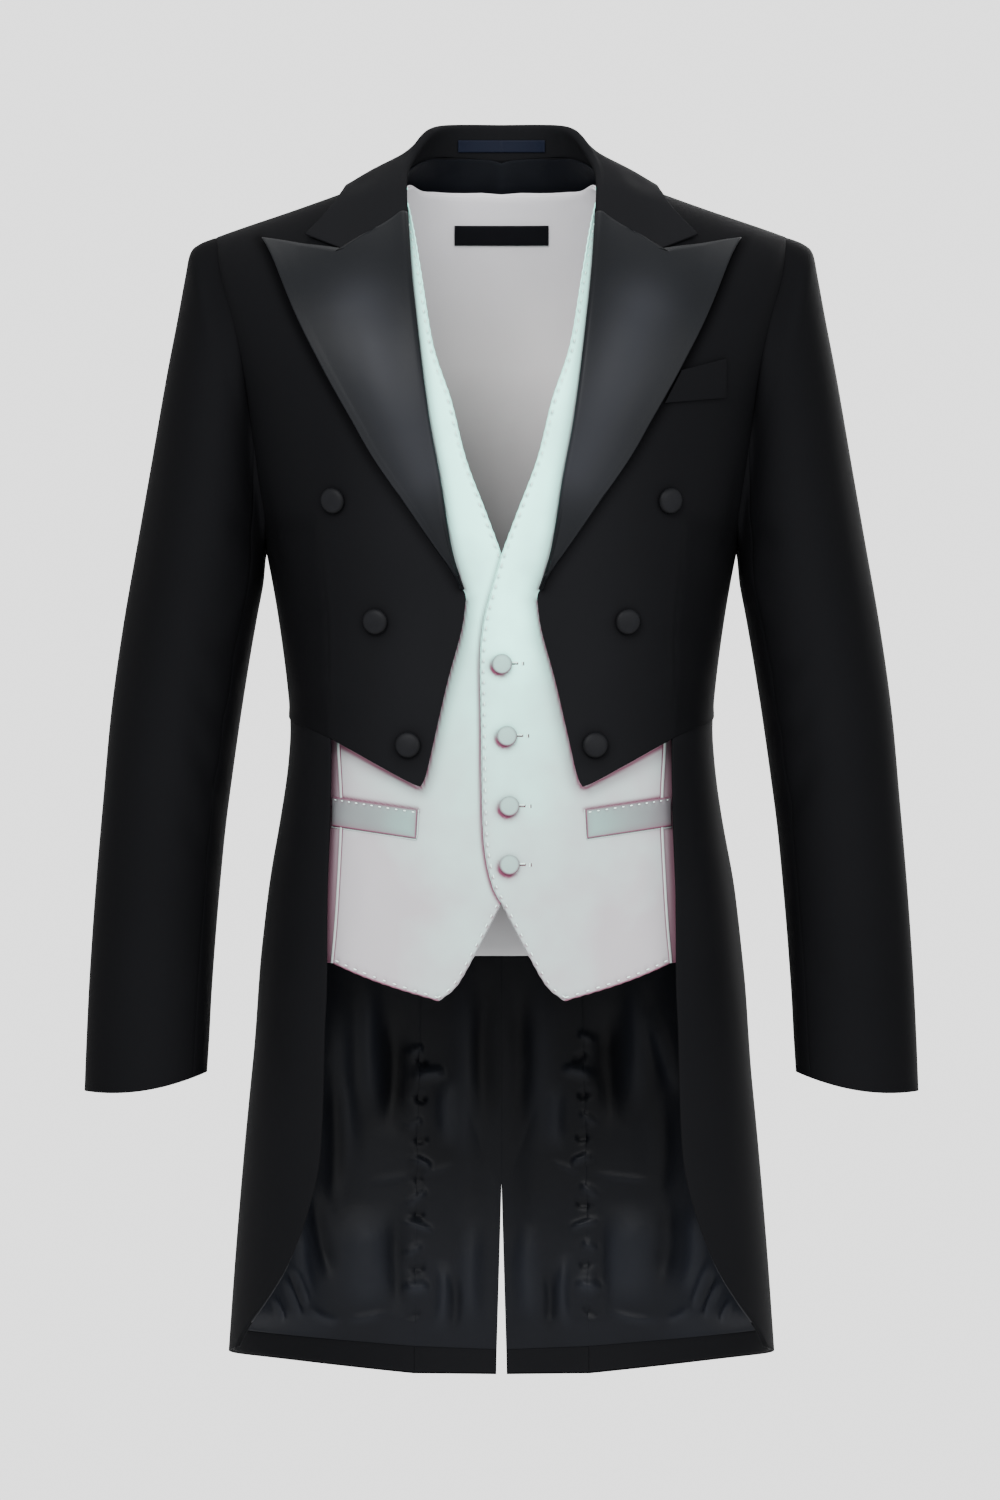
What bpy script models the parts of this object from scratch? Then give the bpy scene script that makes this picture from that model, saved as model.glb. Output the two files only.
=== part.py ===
# Evening tailcoat over a waistcoat, filled out as worn, with nobody inside.
# Metres, +Z up, front towards -Y, wearer's left towards +X. The origin is where the wearer holds it:
# mid depth, at the height where the collar meets the shoulder.

import math
from bisect import bisect_right
from collections import namedtuple

import bmesh
import bpy
from mathutils import Quaternion, Vector
from mathutils.bvhtree import BVHTree

# Cloth and seams
COAT_WALL = 0.0020
SATIN_WALL = 0.0018
WAISTCOAT_WALL = 0.0016
HEM_WALL = 0.0016
LINING_WALL = 0.0010
LABEL_WALL = 0.0010
SEAM_GAP = 0.0003
LAY_GAP = 0.0008          # what lies on a curved panel stands this far off it
LEAF_GAP = 0.0024         # the collar's leaf and the gorge stand off the shoulder
LINING_GAP = 0.0007       # between a panel's inside and its lining
LINING_EDGE = 0.0015      # a lining or turned-up hem stops this far short of the edge
WAISTCOAT_INSET = 0.012   # the waistcoat's form lies this far inside the coat's
UNDERLAP = 0.0027         # how far the under front of the waistcoat drops behind the upper one
UNDERLAP_FROM = 0.085     # measured from the middle: it starts here and is full this much nearer
UNDERLAP_WIDTH = 0.055
SHOULDER_REACH = 0.0113   # the waistcoat's shoulders come up to carry the coat's
REACH_FROM = 0.085        # measured from the middle, as above
REACH_WIDTH = 0.040

# Form: upright sections of the coat's outer face
CHEST = -0.170            # above this height the body rounds over to the shoulder ridge
RIDGE_RISE = 0.200        # upright measure from the chest to the ridge
SHOULDER_HALF = 0.215
CORNER_FULLNESS = 0.30    # squares the sections off a little
SHOULDER_SQUARE = 5.0     # squares them off much more towards the ridge, where the sleeves begin
SHOULDER_SLOPE = 0.30     # draws the form in towards the neck

Section = namedtuple("Section", "height half_width front back")
SECTIONS = (
    Section(-0.900, 0.2065, 0.1180, 0.1340),
    Section(-0.791, 0.1989, 0.1170, 0.1340),
    Section(-0.702, 0.1914, 0.1160, 0.1340),
    Section(-0.612, 0.1825, 0.1150, 0.1330),
    Section(-0.522, 0.1728, 0.1130, 0.1280),
    Section(-0.463, 0.1642, 0.1110, 0.1180),
    Section(-0.403, 0.1578, 0.1110, 0.1060),
    Section(-0.373, 0.1588, 0.1130, 0.1040),
    Section(-0.313, 0.1664, 0.1190, 0.1080),
    Section(-0.262, 0.1757, 0.1240, 0.1170),
    Section(-0.216, 0.1865, 0.1270, 0.1240),
    Section(CHEST, 0.1957, 0.1280, 0.1260),
    Section(-0.129, 0.2025, 0.1280, 0.1260),
    Section(-0.092, 0.2075, 0.1280, 0.1260),
    Section(-0.041, 0.2140, 0.1280, 0.1260),
    Section(0.100, SHOULDER_HALF, 0.1280, 0.1260),
)

Ridge = namedtuple("Ridge", "half_width height")
RIDGES = (
    Ridge(-0.030, 0.0680),
    Ridge(0.000, 0.0750),
    Ridge(0.030, 0.0680),
    Ridge(0.050, 0.0520),
    Ridge(0.063, 0.0365),
    Ridge(0.078, 0.0200),
    Ridge(0.112, 0.0075),
    Ridge(0.154, -0.0075),
    Ridge(0.198, -0.0224),
    Ridge(0.230, -0.0340),
)

# Outlines seen from the front or the back: x, z
ROLL_LINE = ((0.0705, -0.0095), (0.0647, -0.0746), (0.0547, -0.1550), (0.0447, -0.2110),
             (0.0367, -0.2610), (0.0274, -0.2915))
FRONT_EDGE = ((0.0264, -0.2985), (0.0298, -0.3225), (0.0399, -0.3590), (0.0489, -0.3975),
              (0.0562, -0.4290), (0.0603, -0.4377))
CUTAWAY = ((0.0603, -0.4377), (0.0679, -0.4347), (0.0922, -0.4216), (0.1123, -0.4104),
           (0.1275, -0.4020))
WAIST_FRONT = ((0.1275, -0.4020), (0.1422, -0.3946))
WAIST_SIDE = ((81.0, -0.3890), (95.0, -0.3840))                       # angle, z
WAIST_BACK = ((95.0, -0.3840), (125.0, -0.3850), (160.0, -0.3880))    # angle, z
ARMHOLE_FRONT = ((0.2105, -0.0500), (0.1996, -0.0918), (0.1920, -0.1290), (0.1854, -0.1770),
                 (0.1800, -0.2164))
ARMHOLE_LOW = ((80.0, -0.2500), (95.0, -0.2620))                      # angle, z
ARMHOLE_SIDE = ((95.0, -0.2620), (106.0, -0.2480), (114.0, -0.2150))  # angle, z
ARMHOLE_BACK = ((114.0, -0.2150), (112.5, -0.1500), (108.0, -0.0900), (100.0, -0.0480))
SIDE_BACK_SEAM = ((114.0, -0.2150), (128.0, -0.2750), (146.0, -0.3350), (160.0, -0.3880))
NECK_BACK = ((0.0001, 0.0310), (0.0400, 0.0330), (0.0680, 0.0270))
NECK_FRONT = (0.0790, 0.0060)
NECK_POINT = 0.0780
SHOULDER_POINT = 0.2130
TAIL_FRONT = ((0.1275, -0.4020), (0.1302, -0.5654), (0.1317, -0.6179), (0.1334, -0.6836),
              (0.1367, -0.7231), (0.1444, -0.7537), (0.1520, -0.7757), (0.1631, -0.7998),
              (0.1772, -0.8216), (0.1880, -0.8360))
TAIL_CORNER = (0.1985, -0.8555)
TAIL_SEAM = ((0.0570, -0.5000), (0.0630, -0.6500), (0.0660, -0.8585))
TAIL_SEAM_HEM = (0.0662, -0.8790)
VENT_TOP = -0.735
VENT_HALF = 0.0040
HEM_SIDE = ((96.0, -0.8600), (126.0, -0.8670))                        # angle, z
FACING_SIDE = ((96.0, -0.8420), (126.0, -0.8490))                     # angle, z
HEM_CENTRE = -0.8797
FACING_CENTRE = -0.8610
COLLAR_EDGE = ((180.0, 0.0100), (168.0, 0.0095), (157.0, 0.0085))     # angle, z
COLLAR_EDGE_RIDGE = 0.1120
COLLAR_EDGE_FRONT = ((0.1235, -0.0010), (0.1350, -0.0125), (0.1460, -0.0260))
FOLD_BACK = ((0.0, 0.0570, 0.0575), (0.0250, 0.0500, 0.0575), (0.0430, 0.0370, 0.0568),
             (0.0535, 0.0220, 0.0530), (0.0600, 0.0110, 0.0450), (0.0655, 0.0, 0.0340))   # x, y, z
FOLD_FRONT = ((0.0655, 0.0, 0.0340), (0.0700, -0.0170, 0.0235), (0.0710, -0.0360, 0.0115))
GORGE_MIDDLE = (0.0950, -0.0240)
NOTCH = (0.1168, -0.0388)
PEAK_MIDDLE = (0.1480, -0.0335)
PEAK_TIP = (0.1787, -0.0284)
LAPEL_EDGE = ((0.1787, -0.0284), (0.1700, -0.0450), (0.1537, -0.0850), (0.1347, -0.1230),
              (0.1147, -0.1590), (0.0967, -0.1910), (0.0747, -0.2209), (0.0587, -0.2429),
              (0.0450, -0.2627), (0.0365, -0.2860))
LAPEL_TOP = (GORGE_MIDDLE, NOTCH, PEAK_MIDDLE, PEAK_TIP)
LAPEL_PARTS = (0.31, 0.62, 0.82, 1.0)   # how far across the face each of them lies
PEAK_ROWS = 4             # rows of the lapel that bend towards its top
ROLL_RADIUS = 0.0040
ROLL_RADIUS_LOW = 0.0032
ROLL_CLEARANCE = 0.0005   # between the front's raw edge and the lapel's fold round it
COLLAR_RADIUS = 0.0034
LEAF_BOW = 0.0020
FACING_LEG = 0.0050       # how far the fold's hidden side reaches at its top and at its foot
FACING_LEG_LOW = 0.0012
BREAST_WELT = ((0.1338, -0.1285), (0.1675, -0.1198), (0.1675, -0.1491), (0.1212, -0.1532))

# Waistcoat outlines, x, z
V_EDGE = ((0.0722, 0.0050), (0.0682, -0.0120), (0.0605, -0.0545), (0.0511, -0.1090),
          (0.0369, -0.1530), (0.0265, -0.1948), (0.0131, -0.2306), (0.0, -0.2657))
OVERLAP = ((0.0, -0.2657), (-0.0076, -0.2927), (-0.0131, -0.3146), (-0.0157, -0.3409),
           (-0.0153, -0.3800), (-0.0142, -0.4548), (-0.0120, -0.4876), (-0.0066, -0.5117),
           (0.0, -0.5244))
UNDER_EDGE = ((0.0, -0.2657), (-0.0090, -0.3000), (-0.0120, -0.3400), (-0.0120, -0.4600),
              (-0.0070, -0.5060), (0.0, -0.5244))
POINT_EDGE = ((0.0, -0.5244), (0.0207, -0.5640), (0.0340, -0.5862), (0.0470, -0.5965))
FRONT_HEM = ((0.0470, -0.5965), (0.0887, -0.5840), (0.1259, -0.5687))
PANEL_SEAM = ((0.1340, -0.2450), (0.1260, -0.3200), (0.1215, -0.4045), (0.1193, -0.4438),
              (0.1193, -0.4679), (0.1226, -0.5313), (0.1259, -0.5687))
WAISTCOAT_NECK = 0.0750
WAISTCOAT_SHOULDER = 0.1480
WAISTCOAT_ARMHOLE = ((0.1400, -0.0600), (0.1300, -0.1300), (0.1290, -0.1900), (0.1340, -0.2450))
SIDE_ARMHOLE = ((75.0, -0.2850), (106.0, -0.2700))                    # angle, z
SIDE_HEM = ((80.0, -0.5650), (106.0, -0.5650))                        # angle, z
BACK_ARMHOLE = ((106.0, -0.2700), (118.0, -0.2100), (129.0, -0.1300), (134.0, -0.0600))
WAISTCOAT_LINING_EDGE = 0.001
WAISTCOAT_NECK_BACK = ((0.0600, 0.0078), (0.0350, 0.0065), (0.0, 0.0057))
WAISTCOAT_WELT = ((0.0625, -0.4548), (0.1262, -0.4450), (0.1264, -0.4668), (0.0637, -0.4761))

# Bare labels
Label = namedtuple("Label", "half_width top bottom")
COAT_LABEL = Label(0.0330, 0.0460, 0.0370)
WAISTCOAT_LABEL = Label(0.0355, -0.0172, -0.0320)
LABEL_CELLS = 4

# Buttons
Button = namedtuple("Button", "name x z diameter height")
COAT_BUTTONS = (
    Button("coat_button_l1", 0.1245, -0.2254, 0.0195, 0.0052),
    Button("coat_button_l2", 0.0932, -0.3151, 0.0195, 0.0052),
    Button("coat_button_l3", 0.0692, -0.4068, 0.0195, 0.0052),
    Button("coat_button_r1", -0.1245, -0.2254, 0.0195, 0.0052),
    Button("coat_button_r2", -0.0932, -0.3151, 0.0195, 0.0052),
    Button("coat_button_r3", -0.0692, -0.4068, 0.0195, 0.0052),
)
WAISTCOAT_BUTTONS = (
    Button("waistcoat_button_1", 0.0004, -0.3464, 0.0150, 0.0044),
    Button("waistcoat_button_2", 0.0041, -0.4000, 0.0150, 0.0044),
    Button("waistcoat_button_3", 0.0058, -0.4522, 0.0150, 0.0044),
    Button("waistcoat_button_4", 0.0060, -0.4958, 0.0150, 0.0044),
)
BUTTON_SIDES = 14
BUTTON_PROFILE = ((0.60, 0.0), (1.00, 0.24), (0.95, 0.58), (0.64, 0.90))   # radius, height
SEAT_RAYS = 12            # the cloth is felt for at so many spots round a button's seat
SEAT_SHARE = 0.42         # this far out, as a share of its diameter

# Sleeves: rings from the armhole to the cuff, by their outer and inner points seen from the front
Ring = namedtuple("Ring", "outer_x outer_z inner_x inner_z middle_y half_depth armhole")
SLEEVE_RINGS = (
    Ring(0.2130, -0.0280, 0.1762, -0.2620, 0.0020, 0.0520, 1.00),
    Ring(0.2255, -0.0330, 0.1768, -0.2700, 0.0020, 0.0570, 0.60),
    Ring(0.2325, -0.0400, 0.1771, -0.2780, 0.0010, 0.0610, 0.32),
    Ring(0.2362, -0.0580, 0.1778, -0.2870, 0.0000, 0.0640, 0.14),
    Ring(0.2420, -0.0900, 0.1795, -0.2970, -0.0010, 0.0665, 0.04),
    Ring(0.2504, -0.1340, 0.1825, -0.3130, -0.0020, 0.0680, 0.0),
    Ring(0.2608, -0.1940, 0.1877, -0.3430, -0.0030, 0.0680, 0.0),
    Ring(0.2713, -0.2540, 0.1940, -0.3830, -0.0045, 0.0665, 0.0),
    Ring(0.2824, -0.3180, 0.1998, -0.4240, -0.0070, 0.0640, 0.0),
    Ring(0.2912, -0.3820, 0.2053, -0.4660, -0.0110, 0.0610, 0.0),
    Ring(0.2969, -0.4460, 0.2094, -0.5080, -0.0170, 0.0580, 0.0),
    Ring(0.3023, -0.5100, 0.2129, -0.5500, -0.0250, 0.0550, 0.0),
    Ring(0.3066, -0.5740, 0.2158, -0.5920, -0.0350, 0.0520, 0.0),
    Ring(0.3088, -0.6200, 0.2173, -0.6220, -0.0430, 0.0505, 0.0),
    Ring(0.3104, -0.6640, 0.2190, -0.6500, -0.0510, 0.0500, 0.0),
)
# Angle round the sleeve of each point of the armhole, from the shoulder by the front to the underarm
# and back: the forearm seam is at 141 and the hindarm seam at 250
SLEEVE_ANGLES = (0, 22, 45, 68, 92, 118, 141, 161, 180, 199, 217, 234, 250, 272, 294, 316, 338)
FOREARM = 6
HINDARM = 12
CUFF_DROOP = 0.0060

# Cells along each edge
SHOULDER_CELLS = 6
NECK_FRONT_CELLS = 3
NECK_BACK_CELLS = 5
ARMHOLE_FRONT_CELLS = 8
ARMHOLE_SIDE_CELLS = 4
ARMHOLE_BACK_CELLS = 5
SIDE_CELLS = 6
CUTAWAY_CELLS = 4
WAIST_FRONT_CELLS = 5
TAIL_CELLS = 9
VENT_CELLS = 3
ROLL_CELLS = 12
FRONT_ROLL_CELLS = 8
FRONT_EDGE_CELLS = 5
NECK_LINING_ROWS = 4
WELT_CELLS = 5
WAISTCOAT_SHOULDER_CELLS = 6
WAISTCOAT_ARMHOLE_CELLS = 7
WAISTCOAT_SEAM_CELLS = 9
WAISTCOAT_HEM_CELLS = 6
WAISTCOAT_SIDE_CELLS = 5
OVERLAP_CELLS = 6
POINT_CELLS = 3
WAISTCOAT_NECK_CELLS = 3
WAISTCOAT_ARMHOLE_BACK_CELLS = 5

GIRTH = 0.0025            # metres of cloth to a degree round the body, to space the points out
TURN = math.pi / 180
TOP = RIDGE_RISE * math.pi / 2


Finish = namedtuple("Finish", "red green blue roughness")
FINISHES = {
    "wool": Finish(0.011, 0.012, 0.013, 0.85),
    "satin": Finish(0.030, 0.032, 0.036, 0.35),
    "covered_button": Finish(0.020, 0.021, 0.024, 0.60),
    "black_lining": Finish(0.012, 0.013, 0.016, 0.40),
    "pale_cloth": Finish(0.66, 0.74, 0.71, 0.65),
    "pale_lining": Finish(0.55, 0.54, 0.55, 0.50),
    "navy_label": Finish(0.010, 0.015, 0.040, 0.45),
    "black_label": Finish(0.003, 0.003, 0.005, 0.50),
}


def ease(share):
    share = min(max(share, 0.0), 1.0)
    return share * share * (3 - 2 * share)


def read_table(rows, column, place):
    # A smooth curve through one column of a table, read at a value of its first column.
    keys = [row[0] for row in rows]
    values = [getattr(row, column) for row in rows]
    place = min(max(place, keys[0]), keys[-1])
    low = min(max(bisect_right(keys, place) - 1, 0), len(keys) - 2)
    slopes = []
    for k in (low, low + 1):
        before = max(k - 1, 0)
        after = min(k + 1, len(keys) - 1)
        slopes.append((values[after] - values[before]) / (keys[after] - keys[before]))
    span = keys[low + 1] - keys[low]
    t = (place - keys[low]) / span
    return ((2 * t**3 - 3 * t**2 + 1) * values[low] + (t**3 - 2 * t**2 + t) * span * slopes[0]
            + (3 * t**2 - 2 * t**3) * values[low + 1] + (t**3 - t**2) * span * slopes[1])


def ridge_height(angle, inset):
    return read_table(RIDGES, "height", SHOULDER_HALF * abs(math.sin(angle * TURN))) - inset


def body_point(angle, rise, inset=0.0):
    # The body's surface: angle from the front centre (0) by the wearer's left (90) to the back (180),
    # rise above the chest line, and how far the form lies inside the coat's outer face.
    lean = 0.0
    height = CHEST + rise
    if rise > 0:
        lean = rise / RIDGE_RISE
        height = CHEST + (ridge_height(angle, inset) - CHEST) * math.sin(lean)
    side = math.sin(angle * TURN)
    ahead = math.cos(angle * TURN)
    along = ahead * (1 + CORNER_FULLNESS * side**2)
    square = SHOULDER_SQUARE * math.sin(lean)**2
    along *= (1 + square) / (1 + square * abs(along))
    depth = read_table(SECTIONS, "front" if along > 0 else "back", height) - inset
    slope = math.cos(lean) * (1 - SHOULDER_SLOPE * (math.sin(lean) * ahead)**2)
    half_width = read_table(SECTIONS, "half_width", height) - inset
    return Vector((half_width * side, -depth * along * slope, height))


def body_normal(angle, rise, inset=0.0):
    step_angle = 0.4
    step_rise = 0.001
    across = body_point(angle + step_angle, rise, inset) - body_point(angle - step_angle, rise, inset)
    up = body_point(angle, rise + step_rise, inset) - body_point(angle, rise - step_rise, inset)
    return across.cross(up).normalized()


def by_angle(angle, height, inset=0.0):
    # The spot on the form at an angle and a height.
    if height <= CHEST:
        return (angle, height - CHEST)
    share = (height - CHEST) / (ridge_height(angle, inset) - CHEST)
    return (angle, RIDGE_RISE * math.asin(min(share, 1.0)))


def seen(x, height, inset=0.0, behind=False):
    # The spot on the form that is seen at x and a height from the front, or from behind.
    half_width = read_table(SECTIONS, "half_width", height) - inset
    angle = math.asin(max(-1.0, min(1.0, x / half_width))) / TURN
    if behind:
        angle = 180 - angle if x >= 0 else -180 - angle
    return by_angle(angle, height, inset)


def on_ridge(x, behind=False):
    angle = math.asin(x / SHOULDER_HALF) / TURN
    return (180 - angle if behind else angle, TOP)


def outline(points, inset=0.0, behind=False):
    return [seen(x, z, inset, behind) for x, z in points]


def turned_outline(points, inset=0.0):
    return [by_angle(angle, z, inset) for angle, z in points]


def smooth_line(points, cells, shares=None):
    # Even points along a smooth curve through the given ones.
    fine = []
    steps = 12
    for k in range(len(points) - 1):
        before = points[max(k - 1, 0)]
        start, end = points[k], points[k + 1]
        after = points[min(k + 2, len(points) - 1)]
        for s in range(steps):
            t = s / steps
            fine.append(tuple(
                0.5 * (2 * b + (c - a) * t + (2 * a - 5 * b + 4 * c - d) * t**2
                       + (3 * b - 3 * c + d - a) * t**3)
                for a, b, c, d in zip(before, start, end, after)))
    fine.append(tuple(points[-1]))
    scale = (GIRTH, 1.0) if len(points[0]) == 2 else (1.0, 1.0, 1.0)
    lengths = [0.0]
    for start, end in zip(fine, fine[1:]):
        lengths.append(lengths[-1] + math.hypot(*(m * (b - a) for m, a, b in zip(scale, start, end))))
    shares = shares or [k / cells for k in range(cells + 1)]
    line = []
    for share in shares:
        reach = share * lengths[-1]
        k = min(max(bisect_right(lengths, reach) - 1, 0), len(fine) - 2)
        t = (reach - lengths[k]) / max(lengths[k + 1] - lengths[k], 1e-9)
        line.append(tuple(a + (b - a) * t for a, b in zip(fine[k], fine[k + 1])))
    return line


def spacing(seam):
    # How far along a seam each of its points lies, from 0 to 1.
    lengths = [0.0]
    for (start, n), (end, n) in zip(seam, seam[1:]):
        lengths.append(lengths[-1] + (end - start).length)
    return [length / lengths[-1] for length in lengths]


def joined(*lines):
    whole = list(lines[0])
    for line in lines[1:]:
        whole += line[1:]
    return whole


def patch(top, bottom, left, right):
    # Spots filled in between four edges; top and bottom run left to right, the others downwards.
    rows, columns = len(left) - 1, len(top) - 1
    grid = []
    for i in range(rows + 1):
        v = i / rows
        row = []
        for j in range(columns + 1):
            u = j / columns
            row.append(tuple(
                (1 - v) * top[j][k] + v * bottom[j][k] + (1 - u) * left[i][k] + u * right[i][k]
                - (1 - u) * (1 - v) * top[0][k] - u * (1 - v) * top[-1][k]
                - (1 - u) * v * bottom[0][k] - u * v * bottom[-1][k]
                for k in range(2)))
        grid.append(row)
    return grid


def placed(spots, inset=0.0):
    # Each spot becomes a point and its outward direction.
    return [[(body_point(*spot, inset), body_normal(*spot, inset)) for spot in row] for row in spots]


def sheet_normals(points, closed=False):
    # Directions square to a grid of points.
    rows, columns = len(points), len(points[0])
    grid = []
    for i in range(rows):
        row = []
        for j in range(columns):
            down = points[min(i + 1, rows - 1)][j] - points[max(i - 1, 0)][j]
            if closed:
                across = points[i][(j + 1) % columns] - points[i][j - 1]
            else:
                across = points[i][min(j + 1, columns - 1)] - points[i][max(j - 1, 0)]
            row.append((points[i][j], across.cross(down).normalized()))
        grid.append(row)
    return grid


def trimmed(grid, top=0.0, bottom=0.0, left=0.0, right=0.0):
    # Draws the edges of a grid in, towards its own cells.
    cut = [list(row) for row in grid]

    def draw(i, j, towards_i, towards_j, amount):
        point, normal = cut[i][j]
        pull = grid[towards_i][towards_j][0] - grid[i][j][0]
        cut[i][j] = (point + pull.normalized() * amount, normal)

    last, end = len(grid) - 1, len(grid[0]) - 1
    for j in range(end + 1):
        if top:
            draw(0, j, 1, j, top)
        if bottom:
            draw(last, j, last - 1, j, bottom)
    for i in range(last + 1):
        if left:
            draw(i, 0, i, 1, left)
        if right:
            draw(i, end, i, end - 1, right)
    return cut


def mirrored(grid):
    return [[(Vector((-p.x, p.y, p.z)), Vector((-n.x, n.y, n.z))) for p, n in row] for row in grid]


def moved_out(grid, distance):
    return [[(p + n * distance, n) for p, n in row] for row in grid]


def cell_tree(grid):
    # The flat cells of a grid, to find what lies straight ahead of a spot.
    columns = len(grid[0])
    points = [p for row in grid for p, n in row]
    cells = []
    for i in range(len(grid) - 1):
        for j in range(columns - 1):
            a, b = i * columns + j, (i + 1) * columns + j
            cells.append((a, b, b + 1))
            cells.append((a, b + 1, a + 1))
    return BVHTree.FromPolygons(points, cells)


def finish(name):
    material = bpy.data.materials.get(name)
    if material:
        return material
    colour = FINISHES[name]
    material = bpy.data.materials.new(name)
    material.use_nodes = True
    shader = material.node_tree.nodes["Principled BSDF"]
    shader.inputs["Base Color"].default_value = (colour.red, colour.green, colour.blue, 1.0)
    shader.inputs["Roughness"].default_value = colour.roughness
    shader.inputs["Metallic"].default_value = 0.0
    return material


def add_object(name, mesh, material):
    mesh.materials.append(finish(material))
    piece = bpy.data.objects.new(name, mesh)
    bpy.context.scene.collection.objects.link(piece)
    piece.parent = bpy.data.objects["garment"]
    return piece


def wall(name, grid, thickness, material, edge_walls=None):
    # A closed cloth wall: the grid is its face, and its thickness lies behind the face.
    # edge_walls gives some points another way through the cloth, by row and column.
    edge_walls = edge_walls or {}
    rows, columns = len(grid), len(grid[0])
    bm = bmesh.new()
    face, back = [], []
    for i, row in enumerate(grid):
        face.append([bm.verts.new(p) for p, n in row])
        back.append([bm.verts.new(p + edge_walls.get((i, j), -n * thickness))
                     for j, (p, n) in enumerate(row)])

    def quad(a, b, c, d):
        bm.faces.new((a, b, c))
        bm.faces.new((a, c, d))

    for i in range(rows - 1):
        for j in range(columns - 1):
            quad(face[i][j], face[i + 1][j], face[i + 1][j + 1], face[i][j + 1])
            bm.faces.new((back[i][j], back[i + 1][j + 1], back[i + 1][j]))
            bm.faces.new((back[i][j], back[i][j + 1], back[i + 1][j + 1]))
    for j in range(columns - 1):
        quad(face[0][j], face[0][j + 1], back[0][j + 1], back[0][j])
        quad(face[-1][j + 1], face[-1][j], back[-1][j], back[-1][j + 1])
    for i in range(rows - 1):
        quad(face[i + 1][0], face[i][0], back[i][0], back[i + 1][0])
        quad(face[i][-1], face[i + 1][-1], back[i + 1][-1], back[i][-1])
    if bm.calc_volume(signed=True) < 0:
        bmesh.ops.reverse_faces(bm, faces=bm.faces)
    mesh = bpy.data.meshes.new(name)
    bm.to_mesh(mesh)
    bm.free()
    mesh.shade_smooth()
    mesh.set_sharp_from_angle(angle=math.radians(40))
    return add_object(name, mesh, material)


def pair(name, grid, thickness, material, **options):
    wall(name + "_l", grid, thickness, material, **options)
    wall(name + "_r", mirrored(grid), thickness, material, **options)


def coat_lines():
    # The seams and edges of the coat's left half, each worked out once and shared.
    return {
        "shoulder": smooth_line([on_ridge(NECK_POINT), on_ridge(SHOULDER_POINT)], SHOULDER_CELLS),
        "neck_back": smooth_line(outline(NECK_BACK, behind=True) + [on_ridge(NECK_POINT, True)],
                                 NECK_BACK_CELLS),
        "armhole_front": smooth_line(
            [on_ridge(SHOULDER_POINT)] + outline(ARMHOLE_FRONT) + turned_outline(ARMHOLE_LOW),
            ARMHOLE_FRONT_CELLS),
        "armhole_side": smooth_line(turned_outline(ARMHOLE_SIDE), ARMHOLE_SIDE_CELLS),
        "armhole_back": smooth_line(
            turned_outline(ARMHOLE_BACK) + [on_ridge(SHOULDER_POINT, True)], ARMHOLE_BACK_CELLS),
        "side": smooth_line(turned_outline((ARMHOLE_SIDE[0], WAIST_BACK[0])), SIDE_CELLS),
        "side_back": smooth_line(turned_outline(SIDE_BACK_SEAM), SIDE_CELLS),
        "waist_front": smooth_line(outline(WAIST_FRONT) + turned_outline(WAIST_SIDE),
                                   WAIST_FRONT_CELLS),
        "waist_side": smooth_line(turned_outline(WAIST_BACK), ARMHOLE_SIDE_CELLS),
        "tail_seam": smooth_line([turned_outline(WAIST_BACK)[-1]]
                                 + outline(TAIL_SEAM, behind=True), TAIL_CELLS),
    }


def coat_fronts(lines):
    # The front's edge stays behind the lapel's fold, then jogs out to the edge that shows.
    top, low = ROLL_LINE[0][1], ROLL_LINE[-1][1]
    behind = []
    for x, z in ROLL_LINE:
        radius = ROLL_RADIUS + (ROLL_RADIUS_LOW - ROLL_RADIUS) * (top - z) / (top - low)
        behind.append((x + radius + ROLL_CLEARANCE, z))
    roll = smooth_line(outline(behind), FRONT_ROLL_CELLS)
    left = roll + smooth_line(outline(FRONT_EDGE), FRONT_EDGE_CELLS)
    right = joined(lines["armhole_front"], lines["side"])
    neck = smooth_line([roll[0], seen(*NECK_FRONT), on_ridge(NECK_POINT)], NECK_FRONT_CELLS)
    top = joined(neck, lines["shoulder"])
    bottom = joined(smooth_line(outline(CUTAWAY), CUTAWAY_CELLS), lines["waist_front"])
    grid = placed(patch(top, bottom, left, right))
    grid = trimmed(grid, top=SEAM_GAP / 2, bottom=SEAM_GAP / 2, right=SEAM_GAP / 2)
    pair("coat_front", grid, COAT_WALL, "wool")
    return grid, [(body_point(*spot), body_normal(*spot)) for spot in neck]


def coat_sides(lines):
    grid = placed(patch(lines["armhole_side"], lines["waist_side"], lines["side"],
                        lines["side_back"]))
    grid = trimmed(grid, bottom=SEAM_GAP / 2, left=SEAM_GAP / 2, right=SEAM_GAP / 2)
    pair("coat_side", grid, COAT_WALL, "wool")


def back_spots(lines):
    # The back runs from the centre seam to the armhole, side-body seam and tail seam.
    hem_seam = seen(*TAIL_SEAM_HEM, behind=True)
    upper = smooth_line([by_angle(180.0, NECK_BACK[0][1]), (180.0, WAIST_BACK[-1][1] - CHEST)],
                        ARMHOLE_BACK_CELLS + SIDE_CELLS)
    vent_top = (180.0, VENT_TOP - CHEST)
    vent_end = seen(VENT_HALF * 0.9, FACING_CENTRE, behind=True)
    centre = joined(upper, smooth_line([upper[-1], vent_top], TAIL_CELLS - VENT_CELLS),
                    smooth_line([vent_top, vent_end], VENT_CELLS))
    centre.append(seen(VENT_HALF, HEM_CENTRE, behind=True))
    outer = joined(list(reversed(lines["armhole_back"])), lines["side_back"], lines["tail_seam"])
    outer.append(hem_seam)
    shoulder = [(180 - angle, rise) for angle, rise in lines["shoulder"]]
    top = joined(lines["neck_back"], shoulder)
    bottom = smooth_line([centre[-1], hem_seam], len(top) - 1)
    return patch(top, bottom, centre, outer)


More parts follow.
